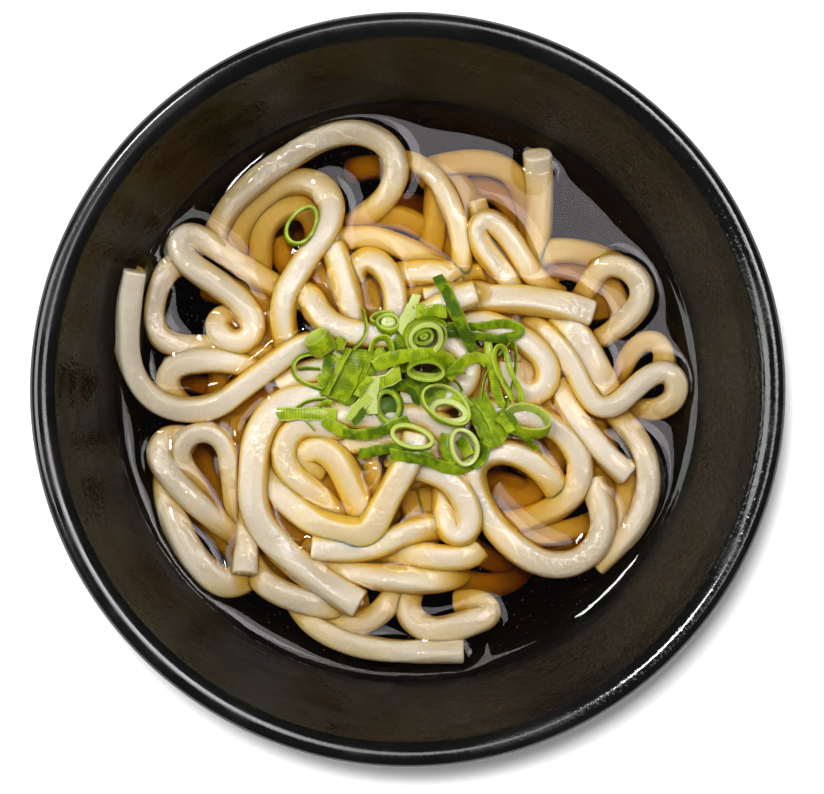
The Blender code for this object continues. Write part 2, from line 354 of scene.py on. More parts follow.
        (-64.3, -22.7, 2.1), (-60.5, -27, 2), (-56, -31.3, 1.2), (-51, -35.4, -1.8), (-46, -39.5, -4.6),
        (-42, -43, -7),
    ),
    "left_narrow_arch": (
        (-54, -34, -5), (-55.4, -30.5, -3), (-57, -26, -2.2), (-59.4, -22, -1.4), (-61.2, -17.6, -0.2),
        (-60.6, -14, 1.8), (-57.8, -11.7, 3), (-54, -11.1, 3.6), (-50.6, -12.8, 3.6), (-48.4, -16.6, 3.2),
        (-47.7, -22, 2), (-47.2, -27, 0.4), (-46.6, -33, -2), (-46, -38, -5),
    ),
    "left_inner_arch": (
        (-14, -9, 1), (-18, -10, 2.8), (-23, -9.7, 4), (-27.5, -9.3, 4.4), (-31, -11, 4.4),
        (-33.2, -14.5, 4.3), (-33.4, -18.5, 4.1), (-31.4, -22.5, 3.6), (-27.5, -26, 3), (-23.5, -29, 1.6),
        (-20, -33, -1), (-18, -37, -4),
    ),
    "left_tongue": (
        (-23, -22.5, -3.5), (-26.6, -20.2, -1), (-28, -17.6, 1), (-26, -15.7, 2.8), (-22.6, -15.9, 3.8),
        (-19.6, -17.9, 4.4), (-17.3, -21, 4.8), (-15.5, -25, 4.8), (-13.6, -29, 4.2), (-12, -33, 2.4),
        (-11.2, -37, 0),
    ),
    "front_v": (
        (-41, -19, -2), (-38.6, -22.6, 0.4), (-36.4, -26, 1.8), (-33.2, -29.4, 2.4), (-29.5, -32.4, 2.6),
        (-25, -35.2, 2.7), (-19.5, -37.3, 3), (-14.2, -38.4, 3.4), (-10.6, -37.8, 4.2),
        (-8.1, -34.4, 5.4),
        (-5.5, -29.6, 6.2), (-3, -25.2, 6.8), (-0.8, -21, 7), (1.2, -17, 6.8), (2.5, -12, 5.6),
    ),
    "under_v": ((-12, -13, 0), (-10, -18.5, -0.6), (-8.4, -24, -1.4), (-8, -29, -3), (-9, -34, -5)),
    "middle_stub": ((1, -19, -2), (3, -22.5, -1.2), (4, -25.6, -1.6)),
    "middle_deep": ((-1, -26, -5), (1, -31, -4), (3, -35, -4.5), (4, -40, -6)),
    "middle_row": (
        (-20, -14, 0), (-14, -13.7, 1.8), (-7, -13.7, 2.4), (0, -13.4, 2.6), (7, -14.8, 2.6),
        (13, -17.5, 2),
    ),
    "middle_bow": (
        (-24, -5, 2), (-18, -5.9, 3.4), (-11, -7.2, 4), (-5, -7.4, 4), (2, -6.8, 4), (8, -9, 4),
        (13, -12.6, 3.6), (17, -16.5, 2.4),
    ),
    "middle_round": (
        (2, 11.5, 3), (7, 13.2, 4), (12, 12.7, 4.6), (16, 9.2, 4.8), (16.5, 4.3, 4.8), (14, 0.3, 4.4),
        (9, -2, 3.6), (3, -3.4, 2.4), (-2, -3, 1),
    ),
    "middle_left": (
        (-35, 1, -1.5), (-29, 4.2, 0.4), (-23, 6, 1.4), (-16, 6.6, 2), (-9, 6.2, 2.2), (-2, 6.6, 2),
    ),
    "middle_right_a": ((21, 12, -2.4), (20.6, 6, -2.4), (20, 0, -2.6), (20.5, -6, -3)),
    "middle_right_b": ((26, 9, -2), (25.6, 4, -2.2), (25.4, -2, -2.6), (26, -8, -3.4)),
}

# Noodles under those: what shows, brown, in the gaps.
UNDER = {
    "left_gap": (
        (-54, 29, -10), (-48, 27, -6.8), (-42, 25.5, -5.4), (-38.5, 22.5, -4.6), (-37, 18, -4.6),
        (-37, 12, -5), (-38, 6, -6),
    ),
    "left_gap_upright": ((-50.5, 10, -8), (-50.5, 5, -6.6), (-50.8, 0, -6.6), (-51.5, -6, -8)),
    "left_gap_low": (
        (-64, 3.4, -11.5), (-59, 2.4, -10), (-54, 0.5, -9.5), (-49, -2, -9.5), (-44, -6, -9),
    ),
    "left_seam": (
        (-54, -8.5, -6), (-46, -6.5, -4.6), (-40, -3.5, -4.4), (-34, 0, -4), (-28, 2, -3.6),
        (-21, 3, -3.6),
    ),
    "arch_end": ((-15, 60.6, -13), (-12, 61.2, -9.6), (-8, 61.8, -9), (-3, 62, -9), (2, 61, -9.5)),
    "inner_seam": ((-27, 38, -5), (-24.5, 33.5, -4), (-22, 29, -3.6), (-19, 24, -4), (-16, 18, -4.5)),
    "back_seam": ((-12, 46, -6.5), (-7, 48, -5.6), (-2, 47.5, -5), (3, 45.5, -5.4), (8, 43, -6.5)),
    "back_gap": (
        (8, 55, -9), (12, 50, -8), (12.5, 45, -6.5), (13, 40, -6.2), (16, 35, -5.6), (20, 31.5, -5),
        (25, 29, -4.6), (31, 27.5, -5),
    ),
    "loop_gap": (
        (22, 46, -6.5), (25, 40.5, -5.4), (28, 36, -5.4), (31, 32, -5.4), (35, 28.5, -5), (41, 27, -5),
    ),
    "right_seam": (
        (24, 22.5, -3.4), (32, 20.5, -3.2), (39, 17, -3.4), (45, 12, -4), (49, 6, -4), (51, -1, -4.4),
        (51, -8, -5), (50, -14, -5),
    ),
    "curl_gap": (
        (31, 13, -1.4), (33, 7, -1.2), (35, 2, -1.6), (38, -5, -3.4), (41, -11, -4.6), (42, -16, -5.5),
        (40, -21, -6.5),
    ),
    "right_gap": (
        (45, -8, -6), (51, -11, -5), (54, -18, -5.6), (55.5, -24, -6), (55, -31, -7), (52, -38, -9),
    ),
    "ring_gap": ((17, -25, -10), (25, -24.5, -9), (32, -26.5, -8.5), (38, -28, -9), (44, -31, -10)),
    "ring_gap_low": ((18, -31, -11.5), (26, -31, -11), (34, -31.5, -11), (42, -36, -11)),
    "hairpin_gap": ((30, -38, -9.5), (36, -41.6, -9.5), (42, -42.4, -9), (48, -40, -9)),
    "bright_gap": ((2, -20, -3.6), (4.4, -25, -3.8), (6, -30, -4), (6.4, -36, -4.4), (5, -42, -5.5)),
    "arch_gap": ((-58, -11, -10), (-56, -17, -9), (-53.5, -23, -8.4), (-51, -29, -8), (-48.6, -35, -7.4)),
    "arch_gap_right": ((-51.5, -12, -11), (-50.5, -18, -10.5), (-49, -25, -10), (-46, -32, -10)),
    "v_gap": ((-40, -28, -5), (-36, -33.5, -4), (-32, -37.4, -4), (-26, -41, -4.4)),
    "tongue_gap": ((-25, -19, -4), (-21, -25, -4), (-17.5, -30, -4), (-14, -36, -4.5)),
    "tongue_side": ((-14, -11, -3), (-12, -18, -3), (-11, -24, -3.4), (-11, -31, -4)),
    "low_gap": ((-43, -41, -5.6), (-38, -46.5, -5.2), (-34, -50.5, -6.5), (-29, -54, -9.5)),
    "long_seam": ((-46, -6, -4.4), (-45, -15, -4), (-44.6, -23, -4), (-43.6, -31, -4), (-41, -38, -5)),
    "arc_gap": ((-60, -29, -7.5), (-54.5, -35, -6.5), (-49.5, -40.5, -7), (-45, -46, -8.5)),
    "front_seam": ((-22, -46, -4.4), (-14, -47, -4), (-6, -46.6, -4), (2, -48, -4.6)),
}

# Where the broth lies level: the place and how far that reaches.
CALM = ((-29.5, 43.5, 9), (-35.5, 36, 7), (-38, 29, 5), (35, 66, 6), (58.5, 25, 4.5), (27.5, -58, 4))

# Where broth lies on the noodles in a puddle: its middle and how far it reaches.
PUDDLES = (
    (-47, 33, 6), (-69, 1, 5), (-58, -20, 7), (57, -32, 6), (-26, 65, 6), (-33, -30, 6), (-25, -14, 5),
    (-51, -44, 6), (-20, -46, 6), (45, 34, 7), (60, -4, 6), (-2, -36, 5), (14, -60, 5), (-40, 9, 6),
    (-12, 42, 6), (8, 52, 5), (26, 38, 5), (50, -12, 5), (-9, 27, 5), (20, -33, 5), (-62, 18, 4),
    (40, 14, 5), (-44, -26, 4), (0, -61, 4),
)

# How wide these noodles are, as a share of the usual width.
WIDTHS = {
    "left_wall": 0.88, "left_loop": 0.92, "left_small_arch": 0.92, "left_hairpin": 0.95,
    "left_front_arc": 1.07, "left_slope": 0.92, "left_narrow_arch": 0.8, "left_stub": 0.93,
    "left_long_cut": 1.1, "left_tongue": 1.08, "front_v": 1.06, "front_wall": 0.87,
    "front_right_wall": 0.88, "front_right_cut": 0.93, "right_loop": 0.86, "right_hook": 0.86,
    "right_arch": 0.84, "back_arm": 0.78, "back_right_loop": 0.88, "back_left_arch": 0.93,
    "back_right_post": 1.05, "inner_arch": 0.92, "short_cut": 0.76,
}

# A leaf's width is divided into columns at these shares of it. Along its two margins it is paler. No piece
# of leaf stands higher above the broth than ONION_TOP.
BAND_SPREAD = (-0.5, -0.41, -0.2, 0.0, 0.2, 0.41, 0.5)
BAND_COLUMNS = len(BAND_SPREAD)
MARGIN_PALER = 0.28
ONION_TOP = 15.5
ONION_STEP = 0.55

# Green onion, in the order in which it is laid. A slice is a short tube: where its middle is, half its
# length and breadth from above before it tilts, how far that oval is turned, the slice's length, its tilt
# from upright and which way it leans (degrees), the leaf's thickness, and how dark it is, from 1 down to
# below 0 for the palest. A strip is a piece of leaf laid along a line: its width, its lean from flat
# (degrees), its thickness, how dark it is, and how far its middle arches up.
ONIONS = (
    ("slice", (-28.5, 44.5), (5.6, 3.6), 59, 2.4, 16, 60, 1.0, 0.5),
    ("strip", ((-4, 13.4), (-2, 12), (0.2, 10.4)), 3.0, 0, 0.6, 0.75, 0),
    ("strip", ((-9.5, 7), (-7, 8.6), (-4.6, 10.2)), 2.6, 0, 0.6, 0.7, 0),
    ("strip", ((-6, 1.2), (-2, 1.6), (1.6, 0.5), (3.8, -3.2)), 3.6, 10, 0.6, 1.0, 0),
    ("strip", ((0.4, 4), (4, 1), (6.6, -3)), 4.4, 6, 0.6, 0.75, 0),
    ("strip", ((8.4, 4), (9.6, 0.6), (8.4, -2.4)), 3.0, 6, 0.6, 0.6, 0),
    ("strip", ((-12, 3), (-9.4, 7), (-6, 10.6)), 3.8, 0, 0.6, 0.5, 0),
    ("strip", ((-9.4, 10), (-4, 7.2), (1.4, 6.6)), 3.6, 6, 0.6, 0.4, 0.2),
    ("strip", ((-3, 14.6), (-0.6, 13), (0.6, 11.2)), 3.0, 0, 0.6, 0.5, 0),
    ("strip", ((-7.6, -5), (-4.9, -4.4), (-2, -4)), 6.0, 0, 0.6, 1.2, -0.4),
    ("slice", (-4.9, -4.2), (3.1, 4.4), 10, 2.6, 20, 200, 1.5, 0.85),
    ("strip", ((0.2, 5.2), (3.2, 3.2), (7, 3.6), (10.6, 5.4)), 3.2, 20, 0.7, 0.85, 0),
    ("strip", ((-20.6, 9.6), (-21.3, 7), (-21.8, 4.4)), 3.2, 10, 0.6, 0.7, 0),
    ("strip", ((-22.2, 4.8), (-22.4, 2), (-21.8, -0.9)), 3.6, 8, 0.6, 0.45, 0.2),
    ("strip", ((-22.4, 9.4), (-26, 9.9), (-29.4, 8.9), (-30.9, 6.4), (-30.3, 4), (-28, 2.1),
        (-24.6, 0.7), (-23, 0.2)), 2.0, 66, 0.6, 0.35, 0.3),
    ("strip", ((-29.4, 5.8), (-26.6, 6), (-23.6, 5.8)), 1.6, 60, 0.5, 0.85, 0),
    ("strip", ((-16.8, 16.6), (-17.5, 14), (-18.5, 11)), 3.0, 0, 0.7, 0.1, 0.3),
    ("slice", (-23.4, 12.9), (3.5, 3.3), 0, 4.6, 64, 127, 0.8, 0.2),
    ("strip", ((-20, 9.9), (-17.9, 8.3)), 2.3, 0, 0.7, 0.0, 0),
    ("strip", ((-12.1, 21.9), (-11.3, 19), (-11.2, 16), (-12.2, 13.5), (-14.4, 11.4)),
        1.9, 68, 0.5, 0.45, 0.6),
    ("strip", ((-10.8, 10.9), (-12.4, 6), (-14, 1.4), (-17.1, -3.9)), 3.7, 6, 0.7, 0.5, 0.5),
    ("strip", ((-13.6, 11.1), (-14.9, 6.6), (-16.7, 2), (-19.2, -2.4)), 5.8, 0, 0.9, 0.4, 0.9),
    ("strip", ((-15.6, 11.2), (-18, 7), (-20.2, 2.4), (-22.2, -1.2)), 2.0, 50, 0.6, 0.25, 0.8),
    ("strip", ((-9.8, 9.9), (-9.3, 12.4), (-7.6, 14), (-5.6, 13.9), (-4.5, 12), (-4.2, 10.1)),
        2.2, 52, 0.6, 0.25, 0.4),
    ("slice", (-6.6, 19.3), (3.2, 1.9), 8, 2.2, 34, 90, 0.7, 0.55),
    ("slice", (-5.2, 17.8), (2.9, 2.4), 0, 2.6, 30, 95, 1.0, 0.3),
    ("slice", (-5.1, 18.0), (1.2, 0.8), 0, 2.4, 26, 95, 1.7, -0.3),
    ("strip", ((-2.4, 15.9), (-0.6, 18.6), (1.4, 22)), 3.4, 5, 0.7, -0.35, 0.6),
    ("strip", ((1.2, 22.6), (2, 24.4), (2.6, 26)), 2.6, 0, 0.5, -0.45, 0),
    ("strip", ((2.9, 19.4), (3.1, 21.4), (3.3, 23.3)), 2.4, 0, 0.7, -0.05, 0.3),
    ("strip", ((4.3, 20.4), (6.6, 21.6), (10.6, 20.9)), 3.2, 8, 0.7, 0.2, 0.6),
    ("strip", ((7.2, 19), (9, 17.8), (10.6, 16.9)), 2.6, 0, 0.6, 0.6, 0),
    ("strip", ((4, 9.9), (1, 12), (-0.6, 14)), 2.8, 14, 0.7, 0.3, 0),
    ("slice", (4.8, 14.5), (5.4, 4.9), 0, 4.2, 26, -60, 1.0, 0.35),
    ("slice", (4.9, 14.1), (4.2, 3.7), 20, 3.8, 18, -60, 1.7, -0.1),
    ("slice", (4.2, 14.3), (2.3, 1.8), 28, 4.0, 12, -60, 1.2, 0.7),
    ("slice", (4.2, 14.4), (0.9, 0.6), 28, 3.4, 12, -60, 1.1, 0.5),
    ("strip", ((-8.9, 6.4), (-5.4, 8), (-1, 9.1), (4, 9.3), (8.6, 9.3), (11.2, 7.4), (11.2, 4.8)),
        3.9, 12, 0.8, 0.25, 0.6),
    ("slice", (5.2, 5.8), (5.0, 2.9), 6, 3.4, 36, 250, 1.1, 0.45),
    ("strip", ((-8.2, 1.6), (-5, 3), (-1.9, 5)), 3.8, 4, 0.7, -0.02, 0.5),
    ("strip", ((-9.5, 3.7), (-9.4, 0.6), (-10.4, -2.6)), 3.6, 8, 0.6, -0.25, 0.4),
    ("strip", ((-9.6, -0.4), (-9.6, -3.4), (-9.5, -6.4)), 3.0, 10, 0.5, -0.3, 0.2),
    ("strip", ((-10.2, -1.4), (-13, -4.6), (-15.6, -8.2)), 3.4, 12, 0.6, -0.15, 0.4),
    ("strip", ((-11.4, -5.2), (-13, -7.2), (-14.6, -9)), 2.2, 20, 0.6, 0.8, 0),
    ("strip", ((-9.9, 3.4), (-12, 1), (-13.6, -1.6)), 2.2, 14, 0.5, 0.3, 0.3),
    ("strip", ((-35.2, -6.4), (-30, -6.3), (-24, -6.3), (-19, -6.5)), 3.5, 0, 0.6, 0.02, 0.6),
    ("strip", ((-29.6, -4.6), (-27.4, -3.2), (-24.4, -2.4), (-21.6, -2.3)), 1.6, 62, 0.5, 0.2, 0.2),
    ("strip", ((-23.8, -4.5), (-22, -3.1), (-20.2, -3.6)), 1.5, 30, 0.5, 0.4, 0),
    ("strip", ((-27.4, -8.1), (-25.9, -9.6), (-24.8, -10.9)), 0.9, 60, 0.4, 0.3, 0),
    ("strip", ((-22.6, -8.1), (-19.6, -9.9), (-16.2, -11.5)), 3.2, 14, 0.7, 0.2, 0),
    ("strip", ((-17.4, -11.4), (-13, -12), (-8, -11.3), (-3.4, -9.4), (0.6, -8.2)),
        3.1, 20, 0.7, 0.6, 0.3),
    ("strip", ((-13, -17.1), (-9, -16.4), (-4, -15.6), (1, -16), (6, -17.6)), 2.9, 12, 0.7, 0.75, 0.2),
    ("strip", ((-4.6, -17.2), (0, -18), (4.6, -18.6), (9, -20.4), (13.6, -21.2), (18, -19.6)),
        3.2, 12, 0.7, 0.6, 0.3),
    ("slice", (1.2, -12.6), (5.4, 3.0), -18, 1.8, 18, 90, 1.2, -0.05),
    ("strip", ((10.4, -11.6), (9.9, -14.4), (10.6, -17.6), (12.6, -20)), 2.8, 35, 0.6, 0.45, 0),
    ("strip", ((19.6, -13.2), (20.9, -16), (20.2, -18.6), (17.6, -20.6)), 3.0, 40, 0.7, 0.6, 0),
    ("slice", (15.2, -15.3), (3.4, 5.0), 16, 2.8, 12, 20, 1.2, -0.15),
    ("strip", ((14, -13), (15.4, -15), (16.6, -17.6)), 3.2, 20, 0.5, 0.45, -0.6),
    ("strip", ((26.6, -5.2), (24.4, -6.6), (23.6, -8.4)), 1.4, 40, 0.5, 0.6, 0),
    ("strip", ((17.4, -2.2), (18.6, -6), (20.9, -10.6), (23.8, -15.2)), 4.3, 0, 0.8, 0.45, 0.5),
    ("strip", ((19.4, -1.6), (21.4, -4.6), (23.4, -8.6), (26, -13.8)), 3.9, -10, 0.8, 0.35, 1.0),
    ("strip", ((12.2, -1.2), (14.6, -2.4), (16.6, -4.8)), 3.2, 10, 0.6, 0.1, 0.2),
    ("slice", (11.2, -5.9), (4.5, 2.9), -14, 2.4, 18, 100, 1.7, -0.2),
    ("slice", (10.4, -4.0), (7.2, 4.6), -38, 2.2, 22, 50, 0.8, 0.1),
    ("strip", ((10.6, 3.2), (13.2, 6), (16.6, 8.4), (19.8, 8.9), (21.8, 7.4)), 3.1, 8, 0.7, 0.2, 0.5),
    ("strip", ((9, 4), (11, 4.4), (13.6, 4.8), (15.6, 4.8)), 1.2, 20, 0.5, 0.4, 0),
    ("strip", ((9.4, 2.6), (12, 3), (14, 1.4), (14.8, -0.4)), 1.0, 40, 0.4, 0.7, 0),
    ("slice", (32.3, -8.3), (6.5, 4.0), -12, 4.2, 36, 80, 0.7, 0.25),
    ("strip", ((24.6, -7), (26.4, -8.6), (28.4, -11)), 3.0, 6, 0.7, 0.3, 0),
    ("strip", ((26.3, -5.4), (28.2, -7.6), (29.8, -10.4), (32.4, -13.4), (35, -15.8)),
        1.6, 20, 0.6, 0.5, 1.2),
    ("strip", ((20, -3.2), (20.4, -0.4), (21, 3), (22, 5.4)), 1.1, 64, 0.4, 0.6, 0.2),
    ("strip", ((25, 9.4), (27, 11.6), (28.6, 13.3), (29.4, 9.4), (29, 4.6), (28, 0), (26.6, -4.6)),
        1.2, 64, 0.45, 0.85, 0.5),
    ("strip", ((21.8, 13.2), (22.2, 9), (23, 5), (24, 0.6), (25.8, -4.6)), 2.3, 14, 0.6, 0.3, 0.5),
    ("strip", ((28.8, -2.6), (27, 0.6), (24.8, 4.6), (23.4, 9.2), (24.6, 12), (26.2, 11.4), (27.2, 7.4),
        (28.6, 3.6), (30.4, 0), (30.9, -4)), 1.5, 32, 0.6, 0.2, 0.7),
    ("strip", ((10.6, 15.4), (16, 15.2), (21, 14.5), (25, 14), (28.6, 14.8)), 2.4, 18, 0.6, 0.75, 0.2),
    ("strip", ((11, 17.2), (16, 17.1), (21, 17.5), (26, 18), (29.4, 17.4), (31, 16.2), (29.6, 15),
        (27, 14.4)), 2.4, 20, 0.6, 0.7, 0.4),
    ("strip", ((10, 28.6), (12.6, 23.4), (16, 15.6)), 2.4, 24, 0.6, 0.3, 0.3),
    ("strip", ((8.1, 30.9), (10.6, 26), (13.2, 19.9), (17.9, 10.6)), 3.0, 6, 0.7, 0.85, 1.2),
)


# ---------------------------------------------------------------- shapes


def wall_height(r):
    """Height of the bowl's inner wall above the table, r from its axis."""
    return INNER_BOTTOM + (LEVEL - INNER_BOTTOM) * (np.asarray(r, float) / BROTH_RADIUS) ** CURVE


def wall_slope(r):
    return CURVE * (wall_height(r) - INNER_BOTTOM) / np.maximum(r, 1e-6)


def add_mesh(name, points, faces, uv=None, tint=None):
    """A smooth mesh object from points in millimetres and arrays of four-sided and three-sided faces.
    uv is one pair per point, and tint one colour per face."""
    faces = [np.asarray(group, np.int64) for group in faces]
    mesh = bpy.data.meshes.new(name)
    corners = np.concatenate([group.reshape(-1) for group in faces])
    sizes = np.concatenate([np.full(len(group), group.shape[1]) for group in faces])
    starts = np.concatenate([[0], np.cumsum(sizes)[:-1]])
    mesh.vertices.add(len(points))
    mesh.vertices.foreach_set("co", (np.asarray(points) * MM).astype(np.float32).ravel())
    mesh.loops.add(len(corners))
    mesh.loops.foreach_set("vertex_index", corners.astype(np.int32))
    mesh.polygons.add(len(sizes))
    mesh.polygons.foreach_set("loop_start", starts.astype(np.int32))
    mesh.polygons.foreach_set("loop_total", sizes.astype(np.int32))
    mesh.polygons.foreach_set("use_smooth", np.full(len(sizes), True))
    mesh.update(calc_edges=True)
    if uv is not None:
        layer = mesh.uv_layers.new(name="along")
        layer.data.foreach_set("uv", np.asarray(uv, np.float32)[corners].ravel())
    if tint is not None:
        layer = mesh.attributes.new("tint", "FLOAT_COLOR", "CORNER")
        colours = np.repeat(np.asarray(tint, np.float32), sizes, axis=0)
        layer.data.foreach_set("color", colours.ravel())
    mesh.validate()
    made = bpy.data.objects.new(name, mesh)
    bpy.context.scene.collection.objects.link(made)
    return made


def finish_piece(made, material, slot, *nodes):
    made.data.materials.append(material)
    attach(made, "root")
    if nodes:
        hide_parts(*nodes)


def joined(parts):
    """Several parts as one, four-sided faces first. A part starts with points, groups of faces and uv."""
    starts = np.cumsum([0] + [len(part[0]) for part in parts[:-1]])
    shifted = [group + start for part, start in zip(parts, starts) for group in part[1]]
    faces = []
    for corners in (4, 3):
        alike = [group for group in shifted if group.shape[1] == corners]
        if alike:
            faces.append(np.concatenate(alike))
    points = np.concatenate([part[0] for part in parts])
    uv = np.concatenate([part[2] for part in parts])
    return points, faces, uv


def closed_rings(count, sides):
    """Faces between rings of points, and two fans that close them with the two points after the rings."""
    row = np.arange(count - 1)[:, None] * sides
    here = np.arange(sides)
    after = (here + 1) % sides
    quads = np.stack([row + here, row + after, row + sides + after, row + sides + here], -1)
    end = (count - 1) * sides
    first_fan = np.stack([np.full(sides, count * sides), after, here], -1)
    last_fan = np.stack([np.full(sides, count * sides + 1), end + here, end + after], -1)
    return [quads.reshape(-1, 4), first_fan, last_fan]


def turned_rings(radii, heights, sides):
    """Points of one ring round the bowl's axis for each radius."""
    angle = np.arange(sides) * 2 * math.pi / sides
    x = radii[:, None] * np.cos(angle)
    y = radii[:, None] * np.sin(angle)
    return np.stack([x, y, np.broadcast_to(heights, x.shape)], -1).reshape(-1, 3)


def lathe(profile, sides):
    """A closed body turned from (radius, height) pairs that start and end on the axis."""
    profile = np.asarray(profile, float)
    rings = turned_rings(profile[1:-1, 0], profile[1:-1, 1:], sides)
    points = np.concatenate([rings, [[0, 0, profile[0, 1]], [0, 0, profile[-1, 1]]]])
    return points, closed_rings(len(profile) - 2, sides)


def wander(length, seed, scales=(60, 27, 13), strengths=(1, 0.6, 0.35)):
    """Smooth seeded noise along a line, about -1 to 1."""
    chance = np.random.default_rng(seed)
    total = np.zeros_like(length)
    for scale, strength in zip(scales, strengths):
        phase = chance.uniform(0, 2 * math.pi)
        stretch = chance.uniform(0.8, 1.25)
        total += strength * np.sin(2 * math.pi * length / (scale * stretch) + phase)
    return total / sum(strengths)


def unit(vectors):
    return vectors / np.linalg.norm(vectors, axis=1, keepdims=True)


def lengths_along(points):
    steps = np.linalg.norm(np.diff(points, axis=0), axis=1)
    return np.concatenate([[0], np.cumsum(steps)])


def eased(t, start, start_slope, end, end_slope):
    """A cubic from start to end as t goes from 0 to 1, with these slopes at its ends."""
    return (
        (2 * t**3 - 3 * t**2 + 1) * start
        + (t**3 - 2 * t**2 + t) * start_slope
        + (3 * t**2 - 2 * t**3) * end
        + (t**3 - t**2) * end_slope
    )


def smoothed(values, rounds):
    """Values along a line, averaged with their neighbours this many times. The two ends stay."""
    values = values.copy()
    for _ in range(rounds):
        values[1:-1] = 0.5 * values[1:-1] + 0.25 * (values[:-2] + values[2:])
    return values


def resampled(line, spacing):
    length = lengths_along(line)
    count = max(4, int(round(length[-1] / spacing)) + 1)
    at = np.linspace(0, length[-1], count)
    return np.stack([np.interp(at, length, line[:, i]) for i in range(line.shape[1])], -1)


def smooth_route(waypoints, spacing, passes=4):
    """A smooth line through the waypoints, with points evenly spaced along it."""
    way = np.asarray(waypoints, float)
    knots = np.sqrt(np.linalg.norm(np.diff(way[:, :2], axis=0), axis=1) + 1e-9)
    knots = np.concatenate([[0], np.cumsum(knots)])
    slopes = np.gradient(way, knots, axis=0)
    steps = np.linspace(0, knots[-1], 40 * len(way))
    part = np.clip(np.searchsorted(knots, steps, side="right") - 1, 0, len(way) - 2)
    gap = (knots[part + 1] - knots[part])[:, None]
    t = (steps[:, None] - knots[part][:, None]) / gap
    line = eased(t, way[part], slopes[part] * gap, way[part + 1], slopes[part + 1] * gap)
    return smoothed(resampled(line, spacing), passes)


def section(sides, squareness):
    """A rounded square of half width 1: how far each of its points lies across and above."""
    angle = np.arange(sides) * 2 * math.pi / sides
    power = 2 / squareness
    across = np.sign(np.cos(angle)) * np.abs(np.cos(angle)) ** power
    above = np.sign(np.sin(angle)) * np.abs(np.sin(angle)) ** power
    return across, above


def tube(line, half_width, half_height, twist, sides, squareness):
    """A noodle round a line: its points, its faces, and how far round and along each point is."""
    forward = unit(np.gradient(line, axis=0))
    side = unit(np.cross(forward, [0, 0, 1.0]))
    up = np.cross(side, forward)
    length = lengths_along(line)
    across, above = section(sides, squareness)
    cut = len(CUT_RINGS)
    index = [0] * cut + list(range(1, len(line) - 1)) + [len(line) - 1] * cut
    shrink = np.ones(len(index))
    shift = np.zeros(len(index))
    for place, (size, inset) in enumerate(CUT_RINGS):
        shrink[place], shift[place] = size, inset
        shrink[-1 - place], shift[-1 - place] = size, -inset
    cos, sin = np.cos(twist)[:, None], np.sin(twist)[:, None]
    wide = half_width[:, None] * across[None, :]
    high = half_height[:, None] * above[None, :]
    x = wide * cos - high * sin
    y = wide * sin + high * cos
    rings = (
        line[index][:, None, :]
        + forward[index][:, None, :] * shift[:, None, None]
        + (side[index][:, None, :] * x[index][:, :, None] + up[index][:, None, :] * y[index][:, :, None])
        * shrink[:, None, None]
    )
    tips = [line[0] - forward[0] * CUT_BULGE, line[-1] + forward[-1] * CUT_BULGE]
    points = np.concatenate([rings.reshape(-1, 3), tips])
    round_part = np.tile(np.arange(sides) / sides, len(index))
    along_part = np.repeat(length[index] + shift, sides)
    uv = np.concatenate([np.stack([round_part, along_part], -1), [[0.5, 0.0], [0.5, length[-1]]]])
    return points, closed_rings(len(index), sides), uv


# ---------------------------------------------------------------- height maps


def spline_weights(t):
    """A smoothing cubic's weights for the four grid lines round a place."""
    return (
        (1 - t) ** 3 / 6,
        (3 * t**3 - 6 * t**2 + 4) / 6,
        (-3 * t**3 + 3 * t**2 + 3 * t + 1) / 6,
        t**3 / 6,
    )


class HeightMap:
    """Heights above the broth on a square grid over the bowl."""

    def __init__(self):
        self.count = int(round(2 * GRID_REACH / GRID_STEP)) + 1
        self.grid = np.full((self.count, self.count), NOTHING)

    def raise_line(self, line, half_width, half_height):
        """Raises the grid to a noodle's top."""
        width = int(math.ceil(half_width.max() / GRID_STEP)) + 1
        for (x, y, z), wide, high in zip(line, half_width, half_height):
            i = int(round((x + GRID_REACH) / GRID_STEP))
            j = int(round((y + GRID_REACH) / GRID_STEP))
            ii = np.arange(max(i - width, 0), min(i + width + 1, self.count))
            jj = np.arange(max(j - width, 0), min(j + width + 1, self.count))
            gx = ii * GRID_STEP - GRID_REACH - x
            gy = jj * GRID_STEP - GRID_REACH - y
            away = np.sqrt(gx[:, None] ** 2 + gy[None, :] ** 2) / wide
            top = z + high * np.maximum(1 - away**SQUARENESS, 0) ** (1 / SQUARENESS)
            top[away > 1] = NOTHING
            part = self.grid[ii[0] : ii[-1] + 1, jj[0] : jj[-1] + 1]
            np.maximum(part, top, out=part)

    def raise_points(self, points):
        i = np.round((points[:, 0] + GRID_REACH) / GRID_STEP).astype(int)
        j = np.round((points[:, 1] + GRID_REACH) / GRID_STEP).astype(int)
        np.maximum.at(self.grid, (i, j), points[:, 2])

    def square_of(self, place, margin):
        """The grid line before a place, at least margin lines in, and how far past it the place lies."""
        lines = (np.asarray(place) + GRID_REACH) / GRID_STEP
        lines = np.clip(lines, margin, self.count - 1.001 - margin)
        return lines.astype(int), lines - lines.astype(int)

    def at(self, x, y):
        i, u = self.square_of(x, 0)
        j, v = self.square_of(y, 0)
        g = self.grid
        return (
            g[i, j] * (1 - u) * (1 - v)
            + g[i + 1, j] * u * (1 - v)
            + g[i, j + 1] * (1 - u) * v
            + g[i + 1, j + 1] * u * v
        )

    def smooth_at(self, x, y):
        """The same, with no corners between one square of the grid and the next."""
        i, u = self.square_of(x, 1)
        j, v = self.square_of(y, 1)
        total = np.zeros_like(u)
        for a, wa in enumerate(spline_weights(u)):
            for b, wb in enumerate(spline_weights(v)):
                total += wa * wb * self.grid[i + a - 1, j + b - 1]
        return total


# ---------------------------------------------------------------- noodles


